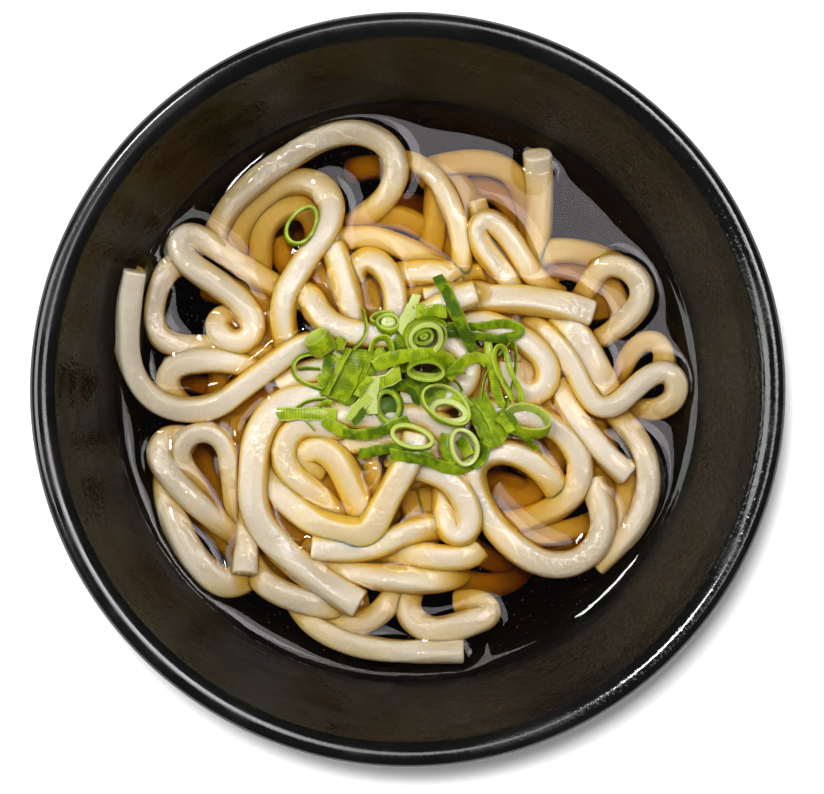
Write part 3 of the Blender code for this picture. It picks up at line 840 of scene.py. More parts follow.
def sunk(route):
    """A route of the heap, pressed flatter and deeper into the broth."""
    route = np.array(route, float)
    height = route[:, 2]
    share = np.clip(1 + height / 3, 0, 1)
    route[:, 2] = np.where(height > 0, height * HEAP_RISE, height) - HEAP_SINK * share
    return route


def crossings(points, owner):
    """Pairs of points of noodles that cross, and how far apart in height each pair has to be."""
    first, second = np.nonzero(np.triu(np.ones((len(points), len(points)), bool), 1))
    apart = np.linalg.norm(points[first, :2] - points[second, :2], axis=1)
    close = (apart < NOODLE_GAP) & ((owner[first] != owner[second]) | (second - first > 5))
    needed = np.sqrt(np.maximum(NOODLE_GAP**2 - apart[close] ** 2, 0)) * SQUEEZE
    return first[close], second[close], needed


def settled_heights(points, owner):
    """Heights that keep noodles out of each other and above the bowl's wall, near where they started."""
    first, second, needed = crossings(points, owner)
    start = points[:, 2].copy()
    sign = np.where(start[first] >= start[second], 1.0, -1.0)
    radius = np.linalg.norm(points[:, :2], axis=1)
    lowest = wall_height(radius) - POOL + WALL_GAP * np.sqrt(1 + wall_slope(radius) ** 2)
    last_of_noodle = np.nonzero(np.diff(owner))[0]
    ends = np.concatenate([[0], last_of_noodle, last_of_noodle + 1, [len(points) - 1]])
    inside = np.setdiff1d(np.arange(len(points)), ends)
    z = start.copy()
    for _ in range(SETTLE_ROUNDS):
        lack = np.maximum(needed - (z[first] - z[second]) * sign, 0)
        push = np.zeros(len(points))
        count = np.full(len(points), 1e-6)
        np.add.at(push, first, 0.5 * lack * sign)
        np.add.at(push, second, -0.5 * lack * sign)
        np.add.at(count, first, (lack > 0) * 1.0)
        np.add.at(count, second, (lack > 0) * 1.0)
        z += 0.8 * push / np.maximum(count, 1)
        z += 0.07 * (start - z)
        z[inside] = 0.6 * z[inside] + 0.2 * (z[inside - 1] + z[inside + 1])
        z = np.maximum(z, lowest)
    return z


def settle(routes):
    """Moves the noodles up and down until none is in another: heights only, with the same one on top."""
    coarse = [smooth_route(route, COARSE_STEP) for route in routes]
    owner = np.concatenate([np.full(len(line), i) for i, line in enumerate(coarse)])
    heights = settled_heights(np.concatenate(coarse), owner)
    settled = []
    for i, route in enumerate(routes):
        fine = smooth_route(route, FINE_STEP)
        here = lengths_along(coarse[i])
        place = lengths_along(fine) * here[-1] / lengths_along(fine)[-1]
        fine[:, 2] = smoothed(np.interp(place, here, heights[owner == i]), 16)
        settled.append(fine)
    return settled


def strand(line, seed, sides, width=1.0, squareness=SQUARENESS):
    """One noodle, uneven in width and a little twisted, and its half width and half height along it."""
    length = lengths_along(line)
    half_width = HALF_WIDTH * width * (1 + 0.06 * wander(length, seed))
    half_height = HALF_HEIGHT * width * (1 + 0.06 * wander(length, seed + 500))
    twist = 0.5 * wander(length, seed + 900, (90, 41), (1, 0.5))
    points, faces, uv = tube(line, half_width, half_height, twist, sides, squareness)
    points[:, 2] += POOL
    uv[:, 1] += 37.0 * seed
    return (points, faces, uv), half_width, half_height


def group_of(line):
    """The piece that a noodle belongs to, by where most of it lies."""
    middle = line.mean(axis=0)
    if middle[1] < -12:
        return "noodles_front"
    return "noodles_left" if middle[0] < 0 else "noodles_right"


def make_shown_noodles(material, wet, full):
    """The noodles of NOODLES and UNDER. It raises wet to those that touch the broth, and full to all."""
    lines = settle([sunk(route) for route in NOODLES.values()])
    for route in UNDER.values():
        lines.append(smooth_route(np.array(route, float) - (0, 0, UNDER_SINK), FINE_STEP))
    groups = {"noodles_left": [], "noodles_right": [], "noodles_front": []}
    for number, (name, line) in enumerate(zip([*NOODLES, *UNDER], lines)):
        squareness = SQUARE_CUT_SQUARENESS if name in SQUARE_CUT else SQUARENESS
        width = WIDTHS.get(name, 1.0)
        part, half_width, half_height = strand(line, number, NOODLE_SIDES, width, squareness)
        touches = line[:, 2] - half_height < WETTED
        if touches.any():
            wet.raise_line(line[touches], half_width[touches], half_height[touches])
        full.raise_line(line, half_width, half_height)
        groups[group_of(line)].append(part)
    for name, parts in groups.items():
        points, faces, uv = joined(parts)
        made = add_mesh(name, points, faces, uv=uv)
        replaced = ["noodle_heap"] if name == "noodles_left" else []
        finish_piece(made, material, "udon_noodle", *replaced)


def filler_route(chance, height):
    """A loose curl that stays near the middle of the bowl."""
    heading = chance.uniform(0, 2 * math.pi)
    place = np.array([math.cos(heading), math.sin(heading)]) * chance.uniform(5, 40)
    heading += math.pi * chance.uniform(0.5, 1.5)
    bend = chance.choice([-1, 1]) * chance.uniform(0.03, 0.09)
    route = []
    for _ in range(FILLER_POINTS):
        route.append((place[0], place[1], height + chance.uniform(-1.2, 1.2)))
        outward = place @ np.array([math.cos(heading), math.sin(heading)])
        if np.linalg.norm(place) > FILLER_REACH and outward > 0:
            bend = math.copysign(0.14, bend)
        elif chance.uniform() < 0.3:
            bend = chance.choice([-1, 1]) * chance.uniform(0.02, 0.1)
        heading += bend * FILLER_STRIDE
        place = place + FILLER_STRIDE * np.array([math.cos(heading), math.sin(heading)])
    return route


def make_noodles_below(material, full):
    """Noodles that fill the heap below the ones that show."""
    parts = []
    for layer, height in enumerate(FILLER_LAYERS):
        for curl in range(FILLER_CURLS):
            chance = np.random.default_rng(300 + 20 * layer + curl)
            line = smooth_route(filler_route(chance, height), FILLER_STEP)
            part, _, _ = strand(line, 100 + len(parts), FILLER_SIDES)
            full.raise_line(line, np.full(len(line), HALF_WIDTH), np.full(len(line), HALF_HEIGHT))
            parts.append(part)
    points, faces, uv = joined(parts)
    finish_piece(add_mesh("noodles_below", points, faces, uv=uv), material, "udon_noodle")


def make_core(material):
    """The unseen middle of the heap: a lumpy mound that stands just clear of the bowl's wall."""
    profile = [(0, CORE_TOP)]
    for r in np.linspace(3, 36, 12):
        profile.append((r, CORE_TOP - CORE_FALL * (r / 38) ** 3))
    for r in np.linspace(37, 3, 12):
        profile.append((r, float(wall_height(r)) + CORE_CLEARANCE))
    profile.append((0, INNER_BOTTOM + CORE_CLEARANCE))
    points, faces = lathe(profile, CORE_SIDES)
    angle = np.arctan2(points[:, 1], points[:, 0])
    bumps = 0.8 * np.sin(7 * angle + points[:, 0] / 4) * np.cos(points[:, 1] / 5)
    points[:, 2] += bumps * (points[:, 2] > CORE_TOP - CORE_FALL)
    core = add_mesh("noodle_core", points, faces, uv=np.stack([angle, points[:, 2]], -1))
    finish_piece(core, material, "udon_noodle")


def make_noodles(material):
    """All noodles. Returns the height maps of those that touch the broth and of all of them."""
    wet, full = HeightMap(), HeightMap()
    make_shown_noodles(material, wet, full)
    make_noodles_below(material, full)
    make_core(material)
    return wet, full


# ---------------------------------------------------------------- broth


def four_around(grid):
    """The sum of the four squares round each one that isn't at the edge."""
    return grid[:-2, 1:-1] + grid[2:, 1:-1] + grid[1:-1, :-2] + grid[1:-1, 2:]


def blurred(grid, rounds):
    grid = grid.copy()
    for _ in range(rounds):
        grid[1:-1, 1:-1] = 0.25 * four_around(grid)
    return grid


def spread(grid, cells, take):
    """The highest (np.maximum) or the lowest (np.minimum) height within this many squares of each one."""
    padded = np.pad(grid, cells, mode="edge")
    size = len(grid)
    found = grid.copy()
    for i in range(2 * cells + 1):
        for j in range(2 * cells + 1):
            if (i - cells) ** 2 + (j - cells) ** 2 <= cells**2:
                found = take(found, padded[i : i + size, j : j + size])
    return found


def bridged(grid, cells):
    """The heap with every gap narrower than twice this many squares filled to its lower side."""
    return spread(spread(grid, cells, np.maximum), cells, np.minimum)


def lowest_broth(wet, full, x, y):
    """How high the broth stands at the least: a film on wet noodles, in the heap's gaps and in puddles."""
    wave = np.sin(x / 3.1 + 1) * np.sin(y / 3.7) + np.sin(x / 1.9 + y / 2.3)
    patch = np.sin(x / 5.3 + 0.7 * np.sin(y / 7.1)) * np.sin(y / 4.6 + 0.9 * np.sin(x / 6.3) + 2)
    ceiling = 1.5 + 0.3 * wave + 3.2 * np.clip(patch - 0.15, 0, 1)
    lowest = np.minimum(wet.grid + FILM, ceiling)
    lowest[wet.grid < -20] = NOTHING
    heap = np.maximum(full.grid, -6.0)
    narrow = bridged(heap, NARROW_GAP) - NARROW_DROP - 0.18 * wave
    wide = bridged(heap, WIDE_GAP) - WIDE_DROP
    lowest = np.maximum(lowest, blurred(np.maximum(narrow, wide), 5))
    raised = blurred(np.maximum(wet.grid, -0.8), 36)
    for middle_x, middle_y, reach in PUDDLES:
        away = np.sqrt((x - middle_x) ** 2 + (y - middle_y) ** 2) / reach
        puddle = raised - 0.3 - 2.2 * away**4 + 0.1 * wave
        lowest = np.where(away < 1.3, np.maximum(lowest, puddle), lowest)
    return lowest


def highest_broth(x, y):
    """How high the broth may stand at the most: hardly above its level in the places of CALM."""
    lid = np.full((x.size, y.size), 60.0)
    for middle_x, middle_y, reach in CALM:
        away = np.sqrt((x - middle_x) ** 2 + (y - middle_y) ** 2)
        lid = np.minimum(lid, 0.1 + 0.07 * away + 0.7 * np.maximum(away - reach, 0))
    return lid


def liquid_surface(wet, full):
    """Height of the broth's surface: level in the open, drawn up at a noodle and held between noodles."""
    axis = np.arange(wet.count) * GRID_STEP - GRID_REACH
    x, y = axis[:, None], axis[None, :]
    lowest = lowest_broth(wet, full, x, y)
    highest = highest_broth(x, y)
    pull = 1 / (1 + GRID_STEP**2 / (4 * CAPILLARY**2))
    surface = np.zeros_like(lowest)
    for _ in range(SURFACE_ROUNDS):
        surface = np.minimum(np.maximum(lowest, blurred(surface, 1) * pull), highest)
    for _ in range(2):
        surface[1:-1, 1:-1] = 0.5 * surface[1:-1, 1:-1] + 0.125 * four_around(surface)
    made = HeightMap()
    made.grid = surface
    return made


def broth_top(surface):
    """Rings of points of the broth's surface, which climbs a little where it meets the bowl's wall."""
    edge = BROTH_RADIUS + WALL_OVERLAP
    radii = np.linspace(edge / BROTH_RINGS, edge, BROTH_RINGS)
    points = turned_rings(radii, 0.0, BROTH_SIDES)
    between = surface.smooth_at(points[:, 0], points[:, 1])
    contact = BROTH_RADIUS * ((POOL + CLIMB - INNER_BOTTOM) / (LEVEL - INNER_BOTTOM)) ** (1 / CURVE)
    at_wall = CLIMB * np.exp(-np.maximum(contact - radii, 0) / CAPILLARY)
    at_wall = np.repeat(at_wall, BROTH_SIDES)
    points[:, 2] = POOL + np.where(between > 0, np.hypot(between, at_wall), at_wall)
    return points


def make_broth(material, surface):
    """The broth as one closed body that reaches just into the bowl's wall."""
    top = broth_top(surface)
    radii = np.linspace(BROTH_RADIUS + WALL_OVERLAP - 0.05, 3, 22)
    low = turned_rings(radii, wall_height(radii)[:, None] - BOTTOM_OVERLAP, BROTH_SIDES)
    first_ring = low[:BROTH_SIDES]
    first_ring[:, 2] = np.minimum(first_ring[:, 2], top[-BROTH_SIDES:, 2] - 0.15)
    centre_top = (0, 0, POOL + float(surface.at(0.0, 0.0)))
    centre_low = (0, 0, INNER_BOTTOM - BOTTOM_OVERLAP)
    points = np.concatenate([top, low, [centre_top, centre_low]])
    quads, *fans = closed_rings(BROTH_RINGS + len(radii), BROTH_SIDES)
    faces = [quads[:, ::-1], np.concatenate(fans)[:, (0, 2, 1)]]
    finish_piece(add_mesh("broth_pool", points, faces), material, "soy_broth", "broth")


def make_specks(material, wet, surface):
    """Tiny crumbs of dough that drift just under the surface of the open broth."""
    corners = np.array([(1, 0, 0), (0, 1, 0), (-1, 0, 0), (0, -1, 0), (0, 0, 1), (0, 0, -1)], float)
    sides = np.array(
        [(0, 1, 4), (1, 2, 4), (2, 3, 4), (3, 0, 4), (1, 0, 5), (2, 1, 5), (3, 2, 5), (0, 3, 5)]
    )
    chance = np.random.default_rng(77)
    points, faces = [], []
    while len(points) < SPECKS:
        x, y = chance.uniform(-SPECK_REACH, SPECK_REACH, 2)
        if math.hypot(x, y) > SPECK_REACH or wet.at(x, y) > -3:
            continue
        size = chance.uniform(0.08, 0.15) * chance.uniform(0.7, 1.3, 3)
        depth = 0.3 + 1.5 * chance.uniform() ** 2
        middle = (x, y, POOL + float(surface.at(x, y)) - depth)
        faces.append(sides + 6 * len(points))
        points.append(corners * size + middle)
    made = add_mesh("broth_specks", np.concatenate(points), [np.concatenate(faces)])
    finish_piece(made, material, "udon_noodle")


# ---------------------------------------------------------------- bowl


def inner_profile():
    """The bowl's inside from its middle up to the lip."""
    profile = [(0, INNER_BOTTOM)]
    for r in np.linspace(2, WALL_BLEND, 56):
        profile.append((r, float(wall_height(r))))
    join = math.radians(LIP_JOIN)
    reach = LIP_TOP - LIP_INNER * math.sin(join) - WALL_BLEND
    low, low_slope = float(wall_height(WALL_BLEND)), float(wall_slope(WALL_BLEND)) * reach
    high, high_slope = RIM_HEIGHT - LIP_INNER * (1 - math.cos(join)), math.tan(join) * reach
    for t in np.linspace(0, 1, 22)[1:-1]:
        profile.append((WALL_BLEND + t * reach, eased(t, low, low_slope, high, high_slope)))
    return profile


def lip_arc(radius, turns):
    """Points of the lip's rounding, at these angles from its top."""
    arc = []
    for turn in np.radians(turns):
        arc.append((LIP_TOP + radius * math.sin(turn), RIM_HEIGHT - abs(radius) * (1 - math.cos(turn))))
    return arc


def outer_profile():
    """The bowl's outside from below the lip down to the foot, a wall's thickness from the inside."""
    profile = []
    for r in np.linspace(92, FOOT_OUTER + 1, 46):
        slope = float(wall_slope(r))
        size = math.hypot(1, slope)
        profile.append((r + WALL * slope / size, float(wall_height(r)) - WALL / size))
    return [point for point in profile if FOOT_OUTER + 4 < point[0] < RIM_RADIUS - 0.4]


def foot_profile(top):
    """The foot ring, whose outside meets the bowl at this height, and the recess inside it."""
    return [
        (FOOT_OUTER + 2.2, top - 0.6),
        (FOOT_OUTER + 1.0, top - 2.0),
        (FOOT_OUTER + 0.5, top - 4.0),
        (FOOT_OUTER + 0.1, 2.2),
        (FOOT_OUTER, 0.9),
        (FOOT_OUTER - 0.25, 0.3),
        (FOOT_OUTER - 0.8, 0.0),
        (FOOT_INNER + 0.8, 0.0),
        (FOOT_INNER + 0.25, 0.3),
        (FOOT_INNER, 0.9),
        (FOOT_INNER - 0.6, FOOT_RECESS + 1.6),
        (FOOT_INNER - 1.6, FOOT_RECESS + 2.1),
        (FOOT_INNER - 5.0, FOOT_RECESS + 1.2),
        (18.0, FOOT_RECESS),
        (0, FOOT_RECESS),
    ]


def make_bowl(material):
    """The bowl as one turned shell, with a rounded lip and a small foot ring."""
    outside = outer_profile()
    profile = inner_profile()
    profile += lip_arc(-LIP_INNER, np.linspace(LIP_JOIN, 0, 22))
    profile += lip_arc(RIM_RADIUS - LIP_TOP, np.linspace(6, 100, 20))
    profile += outside + foot_profile(outside[-1][1] - 1.1)
    points, faces = lathe(profile, BOWL_SIDES)
    faces = [group[:, ::-1] for group in faces]
    angle = np.arctan2(points[:, 1], points[:, 0])
    made = add_mesh("bowl_shell", points, faces, uv=np.stack([angle * 60, points[:, 2]], -1))
    finish_piece(made, material, "black_melamine", "bowl")


# ---------------------------------------------------------------- green onion


def section_faces(count, closed):
    """Faces of a band whose sections have 2 * BAND_COLUMNS points, and two numbers for each face: 1 on the
    skin, 0 inside or 0.5 on a cut edge, and 1 if it lies along a margin."""
    around = 2 * BAND_COLUMNS
    steps = count if closed else count - 1
    faces, sides = [], []
    for step in range(steps):
        a, b = step * around, ((step + 1) % count) * around
        for k in range(around):
            n = (k + 1) % around
            faces.append((a + k, a + n, b + n, b + k))
            if k in (BAND_COLUMNS - 1, around - 1):
                sides.append((0.5, 0))
            else:
                margin = k % BAND_COLUMNS in (0, BAND_COLUMNS - 2)
                sides.append((float(k < BAND_COLUMNS - 1), float(margin)))
    if not closed:
        for a, flip in ((0, False), ((count - 1) * around, True)):
            for k in range(BAND_COLUMNS - 1):
                face = (a + k, a + around - 1 - k, a + around - 2 - k, a + k + 1)
                faces.append(face[::-1] if flip else face)
                sides.append((0.5, 0))
    return np.array(faces), np.array(sides)


def band(path, across, out, width, thick, closed, shade, cup=0.0, slant=0.0):
    """A strip of leaf with some thickness, closed if its end joins its start. Across is the direction of
    its width at each point, and out that of its outer skin."""
    count = len(path)
    columns = np.array(BAND_SPREAD)
    forward = np.cross(across, out) * slant
    ease = np.sqrt(np.clip(1 - (2 * columns) ** 8, 0.35, 1))
    width = np.broadcast_to(width, (count,))[:, None]
    lift = -cup * (2 * columns) ** 2
    offset = (width * columns)[:, :, None]
    middle = path[:, None, :] + forward[:, None, :] * offset + across[:, None, :] * offset
    wall_shade = middle + out[:, None, :] * (thick * 0.5 * ease + lift)[None, :, None]
    inner = middle + out[:, None, :] * (-thick * 0.5 * ease + lift)[None, :, None]
    points = np.concatenate([wall_shade, inner[:, ::-1]], axis=1).reshape(-1, 3)
    along = np.repeat(lengths_along(path)[:, None], 2 * BAND_COLUMNS, axis=1)
    sideways = np.tile(np.concatenate([columns, columns[::-1]]), (count, 1)) * width
    uv = np.stack([along, sideways], -1).reshape(-1, 2)
    faces, sides = section_faces(count, closed)
    darkness = shade - MARGIN_PALER * sides[:, 1]
    tint = np.stack([sides[:, 0], darkness, np.zeros(len(sides)), np.ones(len(sides))], -1)
    return points, [faces], uv, tint


def slice_piece(spec, number):
    """A short tube cut from a leaf: oval, tilted."""
    centre, (a, b), turn, long, tilt, heading, thick, shade = spec
    chance = np.random.default_rng(700 + number)
    count = max(28, int(2.2 * math.pi * (a + b) / 2 / ONION_STEP))
    t = np.arange(count) * 2 * math.pi / count
    p2, p3 = chance.uniform(0, 6.28, 2)
    wave = 1 + 0.035 * np.sin(2 * t + p2) + 0.03 * np.sin(3 * t + p3)
    path = np.stack([a * np.cos(t) * wave, b * np.sin(t) * wave, 0.15 * np.sin(2 * t + p3)], -1)
    axis = np.tile([0, 0, 1.0], (count, 1))
    out = np.cross(unit(np.roll(path, -1, 0) - np.roll(path, 1, 0)), axis)
    points, faces, uv, tint = band(path, axis, out, long, thick, True, shade, cup=0.05 * thick)
    spin = np.array(Matrix.Rotation(math.radians(turn), 3, "Z"))
    lean_axis = Vector((-math.sin(math.radians(heading)), math.cos(math.radians(heading)), 0))
    lean = np.array(Matrix.Rotation(math.radians(tilt), 3, lean_axis))
    points = points @ spin.T @ lean.T
    points[:, :2] += centre
    return points, faces, uv, tint


def draped(under):
    """Heights of a strip laid over these: it bridges dips and bends only softly."""
    for _ in range(3):
        under[1:-1] = np.maximum(under[1:-1], 0.5 * (under[:-2] + under[2:]) - 0.15)
    for _ in range(60):
        under[1:-1] = 0.4 * under[1:-1] + 0.3 * (under[:-2] + under[2:])
        under[0] = 0.5 * (under[0] + under[1])
        under[-1] = 0.5 * (under[-1] + under[-2])
    return under


def strip_piece(spec, number, heights):
    """A strip of leaf that lies over whatever is below it."""
    chance = np.random.default_rng(900 + number)
    way, width, lean, thick, shade, arch = spec
    way = np.asarray(way, float)
    line = smooth_route(np.c_[way, np.zeros(len(way))], ONION_STEP, passes=2)
    forward = unit(np.gradient(line, axis=0))
    perp = np.stack([-forward[:, 1], forward[:, 0], np.zeros(len(line))], -1)
    cos, sin = math.cos(math.radians(lean)), math.sin(math.radians(lean))
    under = np.full(len(line), NOTHING)
    for share in (-0.5, -0.25, 0, 0.25, 0.5):
        spot = line + perp * width * cos * share
        under = np.maximum(under, heights.at(spot[:, 0], spot[:, 1]))
    under = draped(np.maximum(under, 0.3))
    part = np.linspace(0, 1, len(line))
    line[:, 2] = under + thick * 0.5 * cos + width * 0.5 * sin + arch * np.sin(math.pi * part)
    across = perp * cos + np.array([0, 0, 1.0]) * sin
    out = np.cross(unit(np.gradient(line, axis=0)), across)
    uneven = width * (1 + 0.13 * wander(lengths_along(line), 950 + number, (9, 3.4), (1, 0.7)))
    slant = chance.uniform(-0.5, 0.5)
    return band(line, across, out, uneven, thick, False, shade, cup=0.06 * width * cos, slant=slant)


def make_onions(material, full, surface):
    """Sliced green onion, dropped one piece after another onto the noodles and onto each other."""
    heights = HeightMap()
    heights.grid = np.maximum(full.grid, surface.grid)
    groups = {"onion_slices": [], "onion_strips": []}
    for number, (kind, *spec) in enumerate(ONIONS):
        if kind == "slice":
            points, faces, uv, tint = slice_piece(spec, number)
            under = heights.at(points[:, 0], points[:, 1])
            lift = np.percentile(under - points[:, 2], 90)
            points[:, 2] += min(lift, ONION_TOP - points[:, 2].max())
        else:
            points, faces, uv, tint = strip_piece(spec, number, heights)
            points[:, 2] -= max(points[:, 2].max() - ONION_TOP, 0)
        heights.raise_points(points)
        points[:, 2] += POOL
        uv[:, 0] += 11.3 * number
        groups["onion_slices" if kind == "slice" else "onion_strips"].append((points, faces, uv, tint))
    for name, parts in groups.items():
        points, faces, uv = joined(parts)
        made = add_mesh(name, points, faces, uv=uv, tint=np.concatenate([part[3] for part in parts]))
        made.data.set_sharp_from_angle(angle=math.radians(50))
        replaced = ["green_onion_heap"] if name == "onion_slices" else []
        finish_piece(made, material, "green_onion", *replaced)


# ---------------------------------------------------------------- materials


class Nodes:
    """Short calls for building one material's nodes."""

    def __init__(self, name):
        self.material = bpy.data.materials.new(name)
        self.material.use_nodes = True
        self.tree = self.material.node_tree
        self.shader = self.tree.nodes["Principled BSDF"]
        self.output = self.tree.nodes["Material Output"]

    def add(self, kind, **settings):
        node = self.tree.nodes.new(kind)
        for name, value in settings.items():
            setattr(node, name, value)
        return node

    def link(self, source, target):
        self.tree.links.new(source, target)

    def fill(self, socket, value):
        """Gives a socket a number or a colour, or links it to another node's output."""
        if isinstance(value, (int, float)):
            socket.default_value = value
        elif isinstance(value, tuple):
            socket.default_value = value if len(value) == len(socket.default_value) else (*value, 1)
        else:
            self.link(value, socket)

    def stretched(self, vector, stretch):
        mapping = self.add("ShaderNodeMapping")
        mapping.inputs["Scale"].default_value = stretch
        self.link(vector, mapping.inputs["Vector"])
        return mapping.outputs["Vector"]

    def place(self, stretch=(1, 1, 1)):
        """Where a point is on the object, in metres."""
        return self.stretched(self.add("ShaderNodeTexCoord").outputs["Object"], stretch)

    def along(self, stretch):
        """Where a point is round and along its noodle, or along and across its leaf."""
        return self.stretched(self.add("ShaderNodeUVMap", uv_map="along").outputs["UV"], stretch)

    def axes(self, vector):
        node = self.add("ShaderNodeSeparateXYZ")
        self.link(vector, node.inputs["Vector"])
        return node.outputs["X"], node.outputs["Y"], node.outputs["Z"]

    def upward(self):
        """How far the surface faces up: 1 flat, 0 upright."""
        return self.axes(self.add("ShaderNodeNewGeometry").outputs["Normal"])[2]

    def noise(self, vector, scale, detail, roughness):
        node = self.add("ShaderNodeTexNoise")
        node.inputs["Scale"].default_value = scale
        node.inputs["Detail"].default_value = detail
        node.inputs["Roughness"].default_value = roughness
        self.link(vector, node.inputs["Vector"])
        return node.outputs["Fac"]

    def remap(self, value, low, high, to_low=0.0, to_high=1.0):
        """A smooth step from to_low to to_high as the value goes from low to high."""
        node = self.add("ShaderNodeMapRange", interpolation_type="SMOOTHSTEP")
        ends = {"From Min": low, "From Max": high, "To Min": to_low, "To Max": to_high}
        for name, number in ends.items():
            node.inputs[name].default_value = number
        self.link(value, node.inputs["Value"])
        return node.outputs["Result"]

    def math(self, operation, a, b=0.0):
        node = self.add("ShaderNodeMath", operation=operation)
        for socket, value in zip(node.inputs, (a, b)):
            self.fill(socket, value)
        return node.outputs["Value"]

    def sum(self, a, b):
        return self.math("ADD", a, b)

    def product(self, first, *others):
        for other in others:
            first = self.math("MULTIPLY", first, other)
        return first

    def mix(self, share, a, b):
        node = self.add("ShaderNodeMix", data_type="RGBA")
        for number, value in ((0, share), (6, a), (7, b)):
            self.fill(node.inputs[number], value)
        return node.outputs[2]

    def bump(self, height, distance, strength, below=None):
        node = self.add("ShaderNodeBump")
        node.inputs["Distance"].default_value = distance
        node.inputs["Strength"].default_value = strength
        self.link(height, node.inputs["Height"])
        if below is not None:
            self.link(below, node.inputs["Normal"])
        return node.outputs["Normal"]

    def set(self, name, value):
        self.fill(self.shader.inputs[name], value)


def above_pool(height):
    """A height above the broth's level as a height above the table in metres."""
    return (POOL + height) * MM


def noodle_colour(n, place):
    """Cream dough, golden where broth has soaked in. Painted shade: golden low in the heap and on sides
    facing away from the sky, amber between the noodles, darker near the wall and at the back left.
    """
    x, y, z = n.axes(place)
    upward = n.upward()
    radius = n.math("SQRT", n.sum(n.math("POWER", x, 2.0), n.math("POWER", y, 2.0)))
    height = n.sum(z, n.product(n.noise(place, 90, 1, 0.6), 0.002))
    # Golden low down and cream higher up: partly broth soaked into the dough, partly painted shade low in
    # the heap.
    dry_and_lit = n.remap(height, above_pool(-0.4), above_pool(4.6))
    colour = n.mix(dry_and_lit, (0.70, 0.55, 0.29), (0.71, 0.63, 0.495))
    # Painted shade and broth stain: sides that face away from the sky turn golden amber, more so low down
    # and
    # near the middle, and the front left is more golden too.
    flank = n.remap(upward, 1.0, 0.68)
    inner = n.remap(radius, 0.044, 0.066, 1.0, 0.6)
    low = n.remap(height, above_pool(7.0), above_pool(1.0), 0.85, 1.0)
    front_left = n.product(n.remap(x, 0.004, -0.006), n.remap(y, 0.0, -0.02))
    front_left = n.product(front_left, n.remap(radius, 0.036, 0.052, 0.32, 0.0))
    stain_and_shade = n.sum(n.product(flank, inner, low), front_left)
    colour = n.mix(stain_and_shade, colour, (0.72, 0.485, 0.07))
    # Painted shade: duller, darker dough towards the bowl's wall, which keeps light off it.
    wall_shade = n.remap(radius, 0.042, 0.064)
    colour = n.mix(wall_shade, colour, n.mix(dry_and_lit, (0.56, 0.44, 0.26), (0.54, 0.47, 0.345)))
    # Painted shade: darker still towards the back left.
    far_left = n.math("SUBTRACT", y, n.product(x, 0.5))
    colour = n.mix(n.remap(far_left, 0.066, 0.078, 0.0, 0.5), colour, (0.25, 0.21, 0.15))
    # Painted shade: amber on faces that turn sideways and down, in the gaps between noodles.
    crevice_shade = n.product(n.remap(upward, 0.5, 0.05), n.remap(radius, 0.050, 0.068, 1.0, 0.7))
    colour = n.mix(crevice_shade, colour, (0.82, 0.48, 0.05))
    # Painted light right at the wall: a paler colour takes back part of the painted wall shade.
    colour = n.mix(n.remap(radius, 0.0725, 0.0755, 0.0, 0.5), colour, (0.66, 0.60, 0.49))
    fleck = n.noise(place, 800, 1, 0.6)
    colour = n.mix(n.remap(fleck, 0.60, 0.80, 0, 0.2), colour, (0.88, 0.84, 0.74))
    return n.mix(n.remap(fleck, 0.40, 0.22, 0, 0.16), colour, (0.62, 0.50, 0.32))


def noodle_material():
    """Boiled wheat dough: a little translucent, with a pored skin that is wet above the broth."""
    n = Nodes("udon_noodle")
    place = n.place()
    n.set("Base Color", noodle_colour(n, place))
    above = n.remap(n.axes(place)[2], above_pool(-0.3), above_pool(0.2))
    grain = n.noise(n.along((9, 0.28, 1)), 2.2, 2, 0.6)
    pores = n.noise(place, 1700, 0, 0.5)
    film = n.remap(n.noise(place, 80, 1, 0.5), 0.46, 0.60)
    n.set("Roughness", n.mix(above, (1.0, 1.0, 1.0), n.remap(grain, 0.3, 0.7, 0.30, 0.5)))
    beads = n.product(n.noise(place, 640, 1, 0.6), film)
    skin = n.sum(n.sum(grain, n.product(pores, 0.4)), n.product(beads, 1.7))
    crease = n.bump(n.noise(n.along((6, 0.07, 1)), 1.0, 1, 0.5), 0.0009, 0.8)
    wet = n.bump(skin, 0.00017, 0.9, crease)
    n.set("Normal", wet)
    n.set("Subsurface Weight", 1.0)
    n.set("Subsurface Radius", (1.0, 0.90, 0.50))
    n.set("Subsurface Scale", 0.0036)
    n.set("Coat Weight", n.product(above, n.remap(film, 0.0, 1.0, 0.4, 0.9)))
    n.set("Coat Roughness", 0.045)
    n.set("Coat IOR", 1.5)
    n.set("Coat Normal", wet)
    n.set("IOR", 1.36)
    return n.material


def broth_material():
    """Clear brown stock. Its colour comes from how far light travels in it."""
    n = Nodes("soy_broth")
    n.set("Base Color", (1.0, 1.0, 1.0, 1))
    n.set("Roughness", 0.0)
    n.set("IOR", 1.34)
    n.set("Transmission Weight", 1.0)
    clear = n.add("ShaderNodeBsdfTransparent")
    clear.inputs["Color"].default_value = (0.5, 0.5, 0.5, 1)
    path = n.add("ShaderNodeLightPath")
    mix = n.add("ShaderNodeMixShader")
    n.link(path.outputs["Is Shadow Ray"], mix.inputs["Fac"])
    n.link(n.shader.outputs["BSDF"], mix.inputs[1])
    n.link(clear.outputs["BSDF"], mix.inputs[2])
    n.link(mix.outputs["Shader"], n.output.inputs["Surface"])
    absorb = n.add("ShaderNodeVolumeAbsorption")
    absorb.inputs["Color"].default_value = (0.816, 0.672, 0.0, 1)
    absorb.inputs["Density"].default_value = 320.0
    n.link(absorb.outputs["Volume"], n.output.inputs["Volume"])
    return n.material


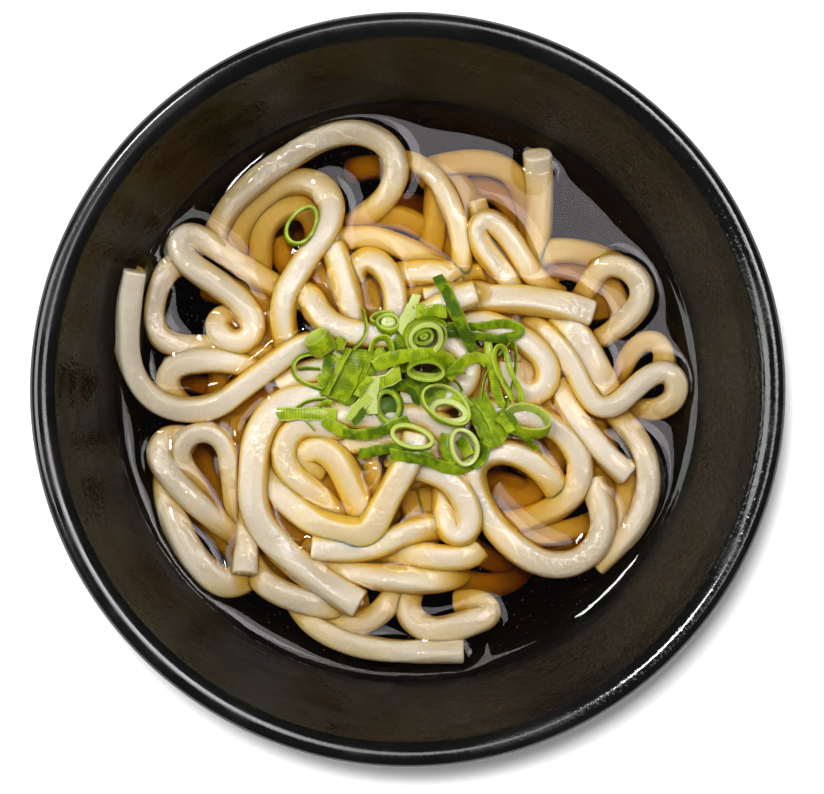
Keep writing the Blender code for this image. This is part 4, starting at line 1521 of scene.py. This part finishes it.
def bowl_material():
    """Black moulded melamine, semi-gloss, with a fine leathery grain, and a brownish painted reflection
    inside above the broth on the right.
    """
    n = Nodes("black_melamine")
    place = n.place()
    x, _, z = n.axes(place)
    streak = n.noise(n.place((1, 1, 4)), 38, 3, 0.6)
    n.set("Roughness", n.remap(streak, 0.38, 0.60, 0.07, 0.30))
    grain = n.noise(place, 1200, 1, 0.5)
    lumps = n.noise(place, 500, 1, 0.5)
    lip = n.remap(z, (RIM_HEIGHT - 2.0) * MM, (RIM_HEIGHT - 0.9) * MM)
    rightward = n.remap(x, -0.03, 0.07)
    relief = n.product(n.sum(grain, n.product(lumps, 1.2)), n.remap(lip, 0.0, 1.0, 1.0, 0.35))
    relief = n.product(relief, n.remap(rightward, 0.0, 1.0, 0.6, 2.0))
    dark = n.mix(n.remap(streak, 0.35, 0.7), (0.003, 0.003, 0.003), (0.0048, 0.0048, 0.0046))
    below_lip = n.remap(z, (RIM_HEIGHT - 6.5) * MM, (RIM_HEIGHT - 10.0) * MM)
    above_broth = n.remap(z, (LEVEL + 1.0) * MM, (LEVEL + 4.0) * MM)
    inside = n.product(below_lip, n.remap(n.upward(), 0.02, 0.2), above_broth)
    # Painted reflection: brownish glints of the heap in the grain of the inner wall, on the right, above
    # the broth.
    painted_reflection = n.product(n.remap(grain, 0.35, 0.65, 0.3, 0.8), n.product(rightward, inside))
    n.set("Base Color", n.mix(painted_reflection, dark, (0.028, 0.021, 0.014)))
    n.set("Normal", n.bump(relief, 0.00016, 0.7))
    n.set("Coat Weight", n.product(lip, 0.7))
    n.set("Coat Roughness", 0.09)
    n.set("Coat IOR", 1.5)
    n.set("IOR", 1.38)
    return n.material


def onion_ribs(n):
    """The leaf's fine ribs, 0 in a groove and 1 on top."""
    ribs = n.add("ShaderNodeTexWave", wave_type="BANDS", bands_direction="X")
    ribs.inputs["Scale"].default_value = 0.40
    ribs.inputs["Distortion"].default_value = 2.6
    ribs.inputs["Detail"].default_value = 2.0
    n.link(n.along((1, 0.25, 1)), ribs.inputs["Vector"])
    return n.remap(ribs.outputs["Fac"], 0.05, 0.5)


def onion_colour(n, rib, patch):
    """Green skin, paler inside. The tint's red says which side a face is on (1 skin, 0 inside, 0.5 a cut
    edge) and its green how dark the piece is."""
    tint = n.add("ShaderNodeVertexColor", layer_name="tint")
    parts = n.add("ShaderNodeSeparateColor")
    n.link(tint.outputs["Color"], parts.inputs["Color"])
    side, shade = parts.outputs["Red"], parts.outputs["Green"]
    deep = n.sum(shade, n.remap(patch, 0.32, 0.68, -0.3, 0.3))
    skin = n.mix(n.remap(deep, 0.0, 0.5), (0.36, 0.46, 0.010), (0.190, 0.290, 0.003))
    skin = n.mix(n.remap(deep, 0.45, 1.0), skin, (0.055, 0.110, 0.002))
    ribbed = n.product(n.remap(rib, 0.0, 1.0, 1.0, 0.0), n.remap(patch, 0.35, 0.6, 0.12, 0.42))
    skin = n.mix(ribbed, skin, (0.06, 0.12, 0.002))
    inside = n.mix(n.remap(deep, 0.2, 0.9), (0.47, 0.58, 0.09), (0.20, 0.30, 0.015))
    pale = n.remap(shade, -0.4, 0.0, 1, 0)
    skin = n.mix(pale, skin, (0.56, 0.64, 0.22))
    inside = n.mix(pale, inside, (0.64, 0.70, 0.30))
    return n.mix(n.remap(side, 0.6, 0.9), inside, skin)


def onion_material():
    """Green onion leaf: ribbed, slightly translucent, wet in places."""
    n = Nodes("green_onion")
    rib = onion_ribs(n)
    patch = n.noise(n.place(), 230, 2, 0.6)
    n.set("Base Color", onion_colour(n, rib, patch))
    n.set("Roughness", n.remap(patch, 0.3, 0.7, 0.38, 0.6))
    n.set("Normal", n.bump(rib, 0.00005, 0.6))
    n.set("Subsurface Weight", 0.25)
    n.set("Subsurface Radius", (0.6, 0.8, 0.1))
    n.set("Subsurface Scale", 0.001)
    n.set("Coat Weight", n.remap(n.noise(n.place(), 120, 1, 0.5), 0.55, 0.68, 0.0, 0.7))
    n.set("Coat Roughness", 0.12)
    n.set("IOR", 1.33)
    n.set("Specular IOR Level", 0.2)
    return n.material


def floor_material():
    """Plain pale board, lightened a little so that it stays even."""
    n = Nodes("pale_floor")
    cloud = n.noise(n.place(), 6, 2, 0.5)
    n.set("Base Color", n.mix(n.remap(cloud, 0.3, 0.7), (0.93, 0.93, 0.93), (0.95, 0.95, 0.95)))
    n.set("Roughness", 0.7)
    n.set("Emission Color", (1.0, 1.0, 1.0, 1))
    n.set("Emission Strength", 0.18)
    return n.material


# ---------------------------------------------------------------- studio


def make_floor():
    bpy.ops.mesh.primitive_grid_add(x_subdivisions=8, y_subdivisions=8, size=3.0)
    floor = bpy.context.object
    floor.name = "floor"
    floor.data.materials.append(floor_material())
    return floor


def area_light(name, place, aim, size, radiance, colour=(1, 1, 1)):
    """A rectangular lamp of this brightness, whatever its size."""
    data = bpy.data.lights.new(name, "AREA")
    data.shape = "RECTANGLE"
    data.size, data.size_y = size
    data.energy = radiance * math.pi * size[0] * size[1]
    data.color = colour
    lamp = bpy.data.objects.new(name, data)
    bpy.context.scene.collection.objects.link(lamp)
    lamp.location = place
    lamp.rotation_euler = (Vector(aim) - Vector(place)).to_track_quat("-Z", "Y").to_euler()
    return lamp


def overhead_light(name, away, height, size, radiance, colour):
    """A lamp that faces straight down, this far from the bowl's axis on the far right."""
    turn = math.radians(39.7)
    x, y = away * math.cos(turn), away * math.sin(turn)
    lamp = area_light(name, (x, y, height), (x, y, 0), size, radiance, colour)
    lamp.rotation_euler = (0, 0, turn)
    return lamp


def linked_only(name, floor, state):
    """A collection for lamps that holds only the floor, which they include or exclude."""
    collection = bpy.data.collections.new(name)
    collection.objects.link(floor)
    collection.collection_objects[0].light_linking.link_state = state
    return collection


def make_lights(floor):
    """The soft boxes that the noodles and the broth mirror, a key lamp, and a lamp for the floor alone."""
    near_edge, deep, wide = 0.092, 0.5, 0.62
    softboxes = (
        overhead_light("softbox_over", near_edge + deep / 2, 1.01, (deep, wide), 4.6, (1.0, 0.95, 1.0)),
        overhead_light("softbox_over_core", 0.42, 1.0, (0.34, 0.36), 6.0, (1.0, 0.97, 1.0)),
        area_light("softbox_left", (-0.85, 0.06, 0.90), (0, 0, 0.05), (0.6, 0.72), 5.4, (0.98, 1.0, 0.98)),
        area_light("key_back_left", (-0.30, 0.33, 1.06), (0, 0, 0.05), (0.14, 0.16), 54.0),
    )
    not_floor = linked_only("not_the_floor", floor, "EXCLUDE")
    for lamp in softboxes:
        lamp.light_linking.receiver_collection = not_floor
    floor_lamp = area_light("floor_lamp", (-0.066, 0.066, 1.25), (0, 0, 0), (0.11, 0.11), 500.0)
    floor_lamp.light_linking.receiver_collection = linked_only("floor_only", floor, "INCLUDE")
    world = bpy.data.worlds.new("studio")
    bpy.context.scene.world = world
    world.use_nodes = True
    world.node_tree.nodes["Background"].inputs["Color"].default_value = (0.08, 0.08, 0.083, 1)


def make_camera():
    """The photograph's viewpoint: from about a metre overhead, a little towards the near side."""
    data = bpy.data.cameras.new("camera")
    camera = bpy.data.objects.new("camera", data)
    bpy.context.scene.collection.objects.link(camera)
    place = Vector((-0.0163, -0.0214, 1.012))
    target = Vector((0.0009, -0.0022, RIM_HEIGHT * MM))
    look = (target - place).normalized()
    right = look.cross(Vector((0, 1, 0))).normalized()
    up = right.cross(look)
    camera.matrix_world = Matrix.Translation(place) @ Matrix((right, up, -look)).transposed().to_4x4()
    data.sensor_width = 36
    data.lens = 155.3
    data.clip_end = 10
    bpy.context.scene.camera = camera


bpy.context.scene.view_settings.view_transform = "Standard"
make_camera()
make_lights(make_floor())
make_bowl(bowl_material())
dough = noodle_material()
wet, full = make_noodles(dough)
surface = liquid_surface(wet, full)
make_broth(broth_material(), surface)
make_specks(dough, wet, surface)
make_onions(onion_material(), full, surface)
